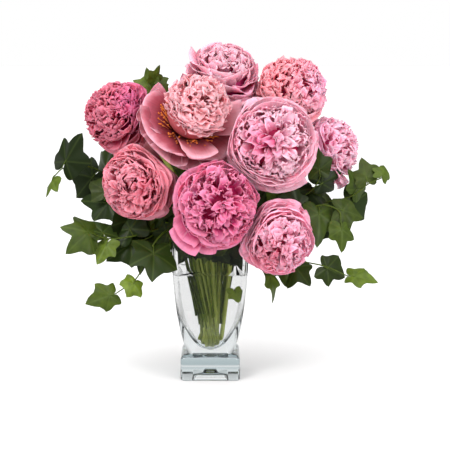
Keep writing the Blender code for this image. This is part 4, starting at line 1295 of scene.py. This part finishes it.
def tower(name, rings):
    """A closed skin over these rings, with a flat cap at each end."""
    only()
    bpy.ops.mesh.primitive_circle_add(vertices=RING_POINTS, radius=10.0, fill_type='NGON')
    piece = bpy.context.object
    piece.name = name
    edit_all()
    for _ in rings[1:]:
        bpy.ops.mesh.extrude_region_move(TRANSFORM_OT_translate={"value": (0, 0, 1)})
    bpy.ops.object.mode_set(mode='OBJECT')
    points = points_of(piece.data)
    step = 2 * math.pi / RING_POINTS
    around = np.round(np.arctan2(points[:, 1], points[:, 0]) / step).astype(int) % RING_POINTS
    levels = np.round(points[:, 2]).astype(int)
    outline = np.array([[tuple(point) for point in ring] for ring in rings])
    move_points(piece.data, outline[levels, around] * MM)
    edit_all()
    bpy.ops.mesh.normals_make_consistent(inside=False)
    bpy.ops.object.mode_set(mode='OBJECT')
    return piece


def cavity_ring(height, grow=0.0):
    """The cavity's outline, from a circle at its floor to a square above."""
    half_width = cavity_half_width(height)
    if height < BOWL_TOP:
        drop = BOWL_RADIUS + BOWL_FLOOR - height
        half_width = math.sqrt(max(BOWL_RADIUS ** 2 - drop ** 2, 0.01))
    corner = min(max(7.0, half_width - 0.8 * (height - CAVITY_FLOOR)), half_width)
    return rounded_square(half_width + grow, corner + grow, height)


def levels(low, high, count):
    """Heights that are closer together near the low end."""
    return [low + (high - low) * (step / count) ** 1.4 for step in range(count + 1)]


def curved(height, radius, top, steps):
    """Insets and heights round a small bottom edge, or a top one."""
    angles = [math.radians(90 * step / steps) for step in range(steps + 1)]
    if top:
        return [(radius * (1 - math.cos(angle)), height - radius * (1 - math.sin(angle)))
                for angle in angles]
    return [(radius * (1 - math.sin(angle)), height + radius * (1 - math.cos(angle)))
            for angle in angles]


# %% Vase and water, in millimetres
FOOT_HALF, FOOT_ROUND, SHOULDER_ROUND = 41.5, 2.2, 8.0
BODY_CORNER, RIM_ROUND = 9.0, 1.4
WATER_LEVEL = 150.0
RECESS = ((6.6, 11.0), (8.4, 10.6), (10.0, 8.6), (10.8, 7.4), (12.0, 7.0), (22.5, 6.8),
          (23.8, 6.4), (24.4, 5.4), (25.4, 0.0))  # under the foot: half width and height
rings = [rounded_square(half_width, 5.0, height) for half_width, height in RECESS]
rings += [rounded_square(FOOT_HALF - inset, 6.0 - min(inset, 1.5) * 0.8, height)
          for inset, height in (curved(0, FOOT_ROUND, False, 4)
                              + curved(NECK_HEIGHT, SHOULDER_ROUND, True, 8))]
rings += [rounded_square(body_half_width(height), BODY_CORNER, height)
          for height in levels(NECK_HEIGHT + 0.6, RIM_HEIGHT - RIM_ROUND, 26)]
for step in range(9):
    angle = math.radians(180 * step / 8)
    inset = RIM_WALL / 2 * (1 - math.cos(angle))
    rings.append(rounded_square(body_half_width(RIM_HEIGHT) - inset, BODY_CORNER - 0.55 * inset,
                                RIM_HEIGHT - RIM_ROUND + RIM_ROUND * math.sin(angle)))
bowl = [BOWL_FLOOR + (BOWL_TOP - BOWL_FLOOR) * (step / 8) ** 2 for step in range(1, 8)]
rings += [cavity_ring(height) for height in reversed(bowl + levels(BOWL_TOP, 202.0, 24))]
glass_vase = tower("clear_glass_vase", rings)
smooth(glass_vase, 40)

rings = [cavity_ring(height, 0.2) for height in bowl + levels(BOWL_TOP, WATER_LEVEL - 1, 18)]
rings[0] = [point - Vector((0, 0, 0.2)) for point in rings[0]]
rings += [cavity_ring(WATER_LEVEL + rise, grow)  # the water climbs the wall by a hair
          for rise, grow in ((0.6, 0.2), (0.5, -0.5), (0.0, -2.0), (0.0, -12.0))]
still_water = tower("still_water", rings)
smooth(still_water, 50)
print("vase faces:", len(glass_vase.data.polygons), "water:", len(still_water.data.polygons))

# %% Glass and water
# The foot is solid. Its base colour is painted grey-blue and white in horizontal stripes up its
# height.
# These are painted reflections: the dark lines and bright streaks that its thick edges show.
# Where the glass is thick, absorption gives it a faint grey-green tint.
PAINTED_BANDS_TOP = 50.0
FOOT_PAINTED_REFLECTIONS = ((0.0, "#c8d4d6"), (2.5, "#ffffff"), (14.0, "#f0f6f6"), (19.0, "#b8c6ca"),
              (21.0, "#ffffff"), (23.5, "#9fb0b5"), (31.0, "#b4c4c8"), (35.0, "#8c9ea4"),
              (36.8, "#ffffff"))  # heights in millimetres


def clear_material(name, index, roughness, ripples, strength, depth):
    """Something clear with this refractive index, and gentle ripples in its surface."""
    material, tree, shader = new_material(name)
    place = add(tree, "TexCoord").outputs["Object"]
    ripple = add(tree, "TexNoise", Vector=place, Scale=ripples, Detail=1.0)
    relief = add(tree, "Bump", Height=ripple, Strength=strength, Distance=depth * MM)
    wire(shader, Base_Color=(1, 1, 1, 1), Normal=relief, Transmission_Weight=1.0,
         Roughness=roughness, IOR=index)
    return material, tree, shader, place


glass, tree, shader, place = clear_material("clear_pressed_glass", 1.52, 0.01, 28.0, 0.15, 0.6)
height = add(tree, "SeparateXYZ", Vector=place).outputs["Z"]
height = add(tree, "MapRange", Value=height, From_Max=PAINTED_BANDS_TOP * MM)
# Painted reflections: the glass's base colour turns grey-blue or white, stripe by stripe, by
# height.
painted_reflection_bands = add(tree, "ValToRGB", Fac=height)
set_ramp(painted_reflection_bands.color_ramp, [(level / PAINTED_BANDS_TOP, code) for level, code in FOOT_PAINTED_REFLECTIONS])
wire(shader, Base_Color=painted_reflection_bands)
depth_tint = add(tree, "VolumeAbsorption", Color=hex_colour("#86a6ac"), Density=4.0)
wire(tree.nodes["Material Output"], Volume=depth_tint)
liquid = clear_material("clear_water", 1.333, 0.0, 40.0, 0.05, 0.2)[0]  # still clear water
finish(glass_vase, "vase", "pressed_glass", glass)
finish(still_water, "water", "water", liquid)
print("clear finishes:", glass.name, liquid.name)

# %% Close
for blank in (filament, anther, *(kind["blank"] for kind in (BROAD_GRID, SMALL_GRID, VINE_DISC,
                                                             PACKED_DISC))):
    blank_mesh = blank.data
    bpy.data.objects.remove(blank, do_unlink=True)
    bpy.data.meshes.remove(blank_mesh)
look_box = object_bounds()
({"cad": [list(corner) for corner in CAD_BOX],
           "look": [list(corner) for corner in look_box]})
print("look box:", [round(n / MM, 1) for n in look_box[1] - look_box[0]])
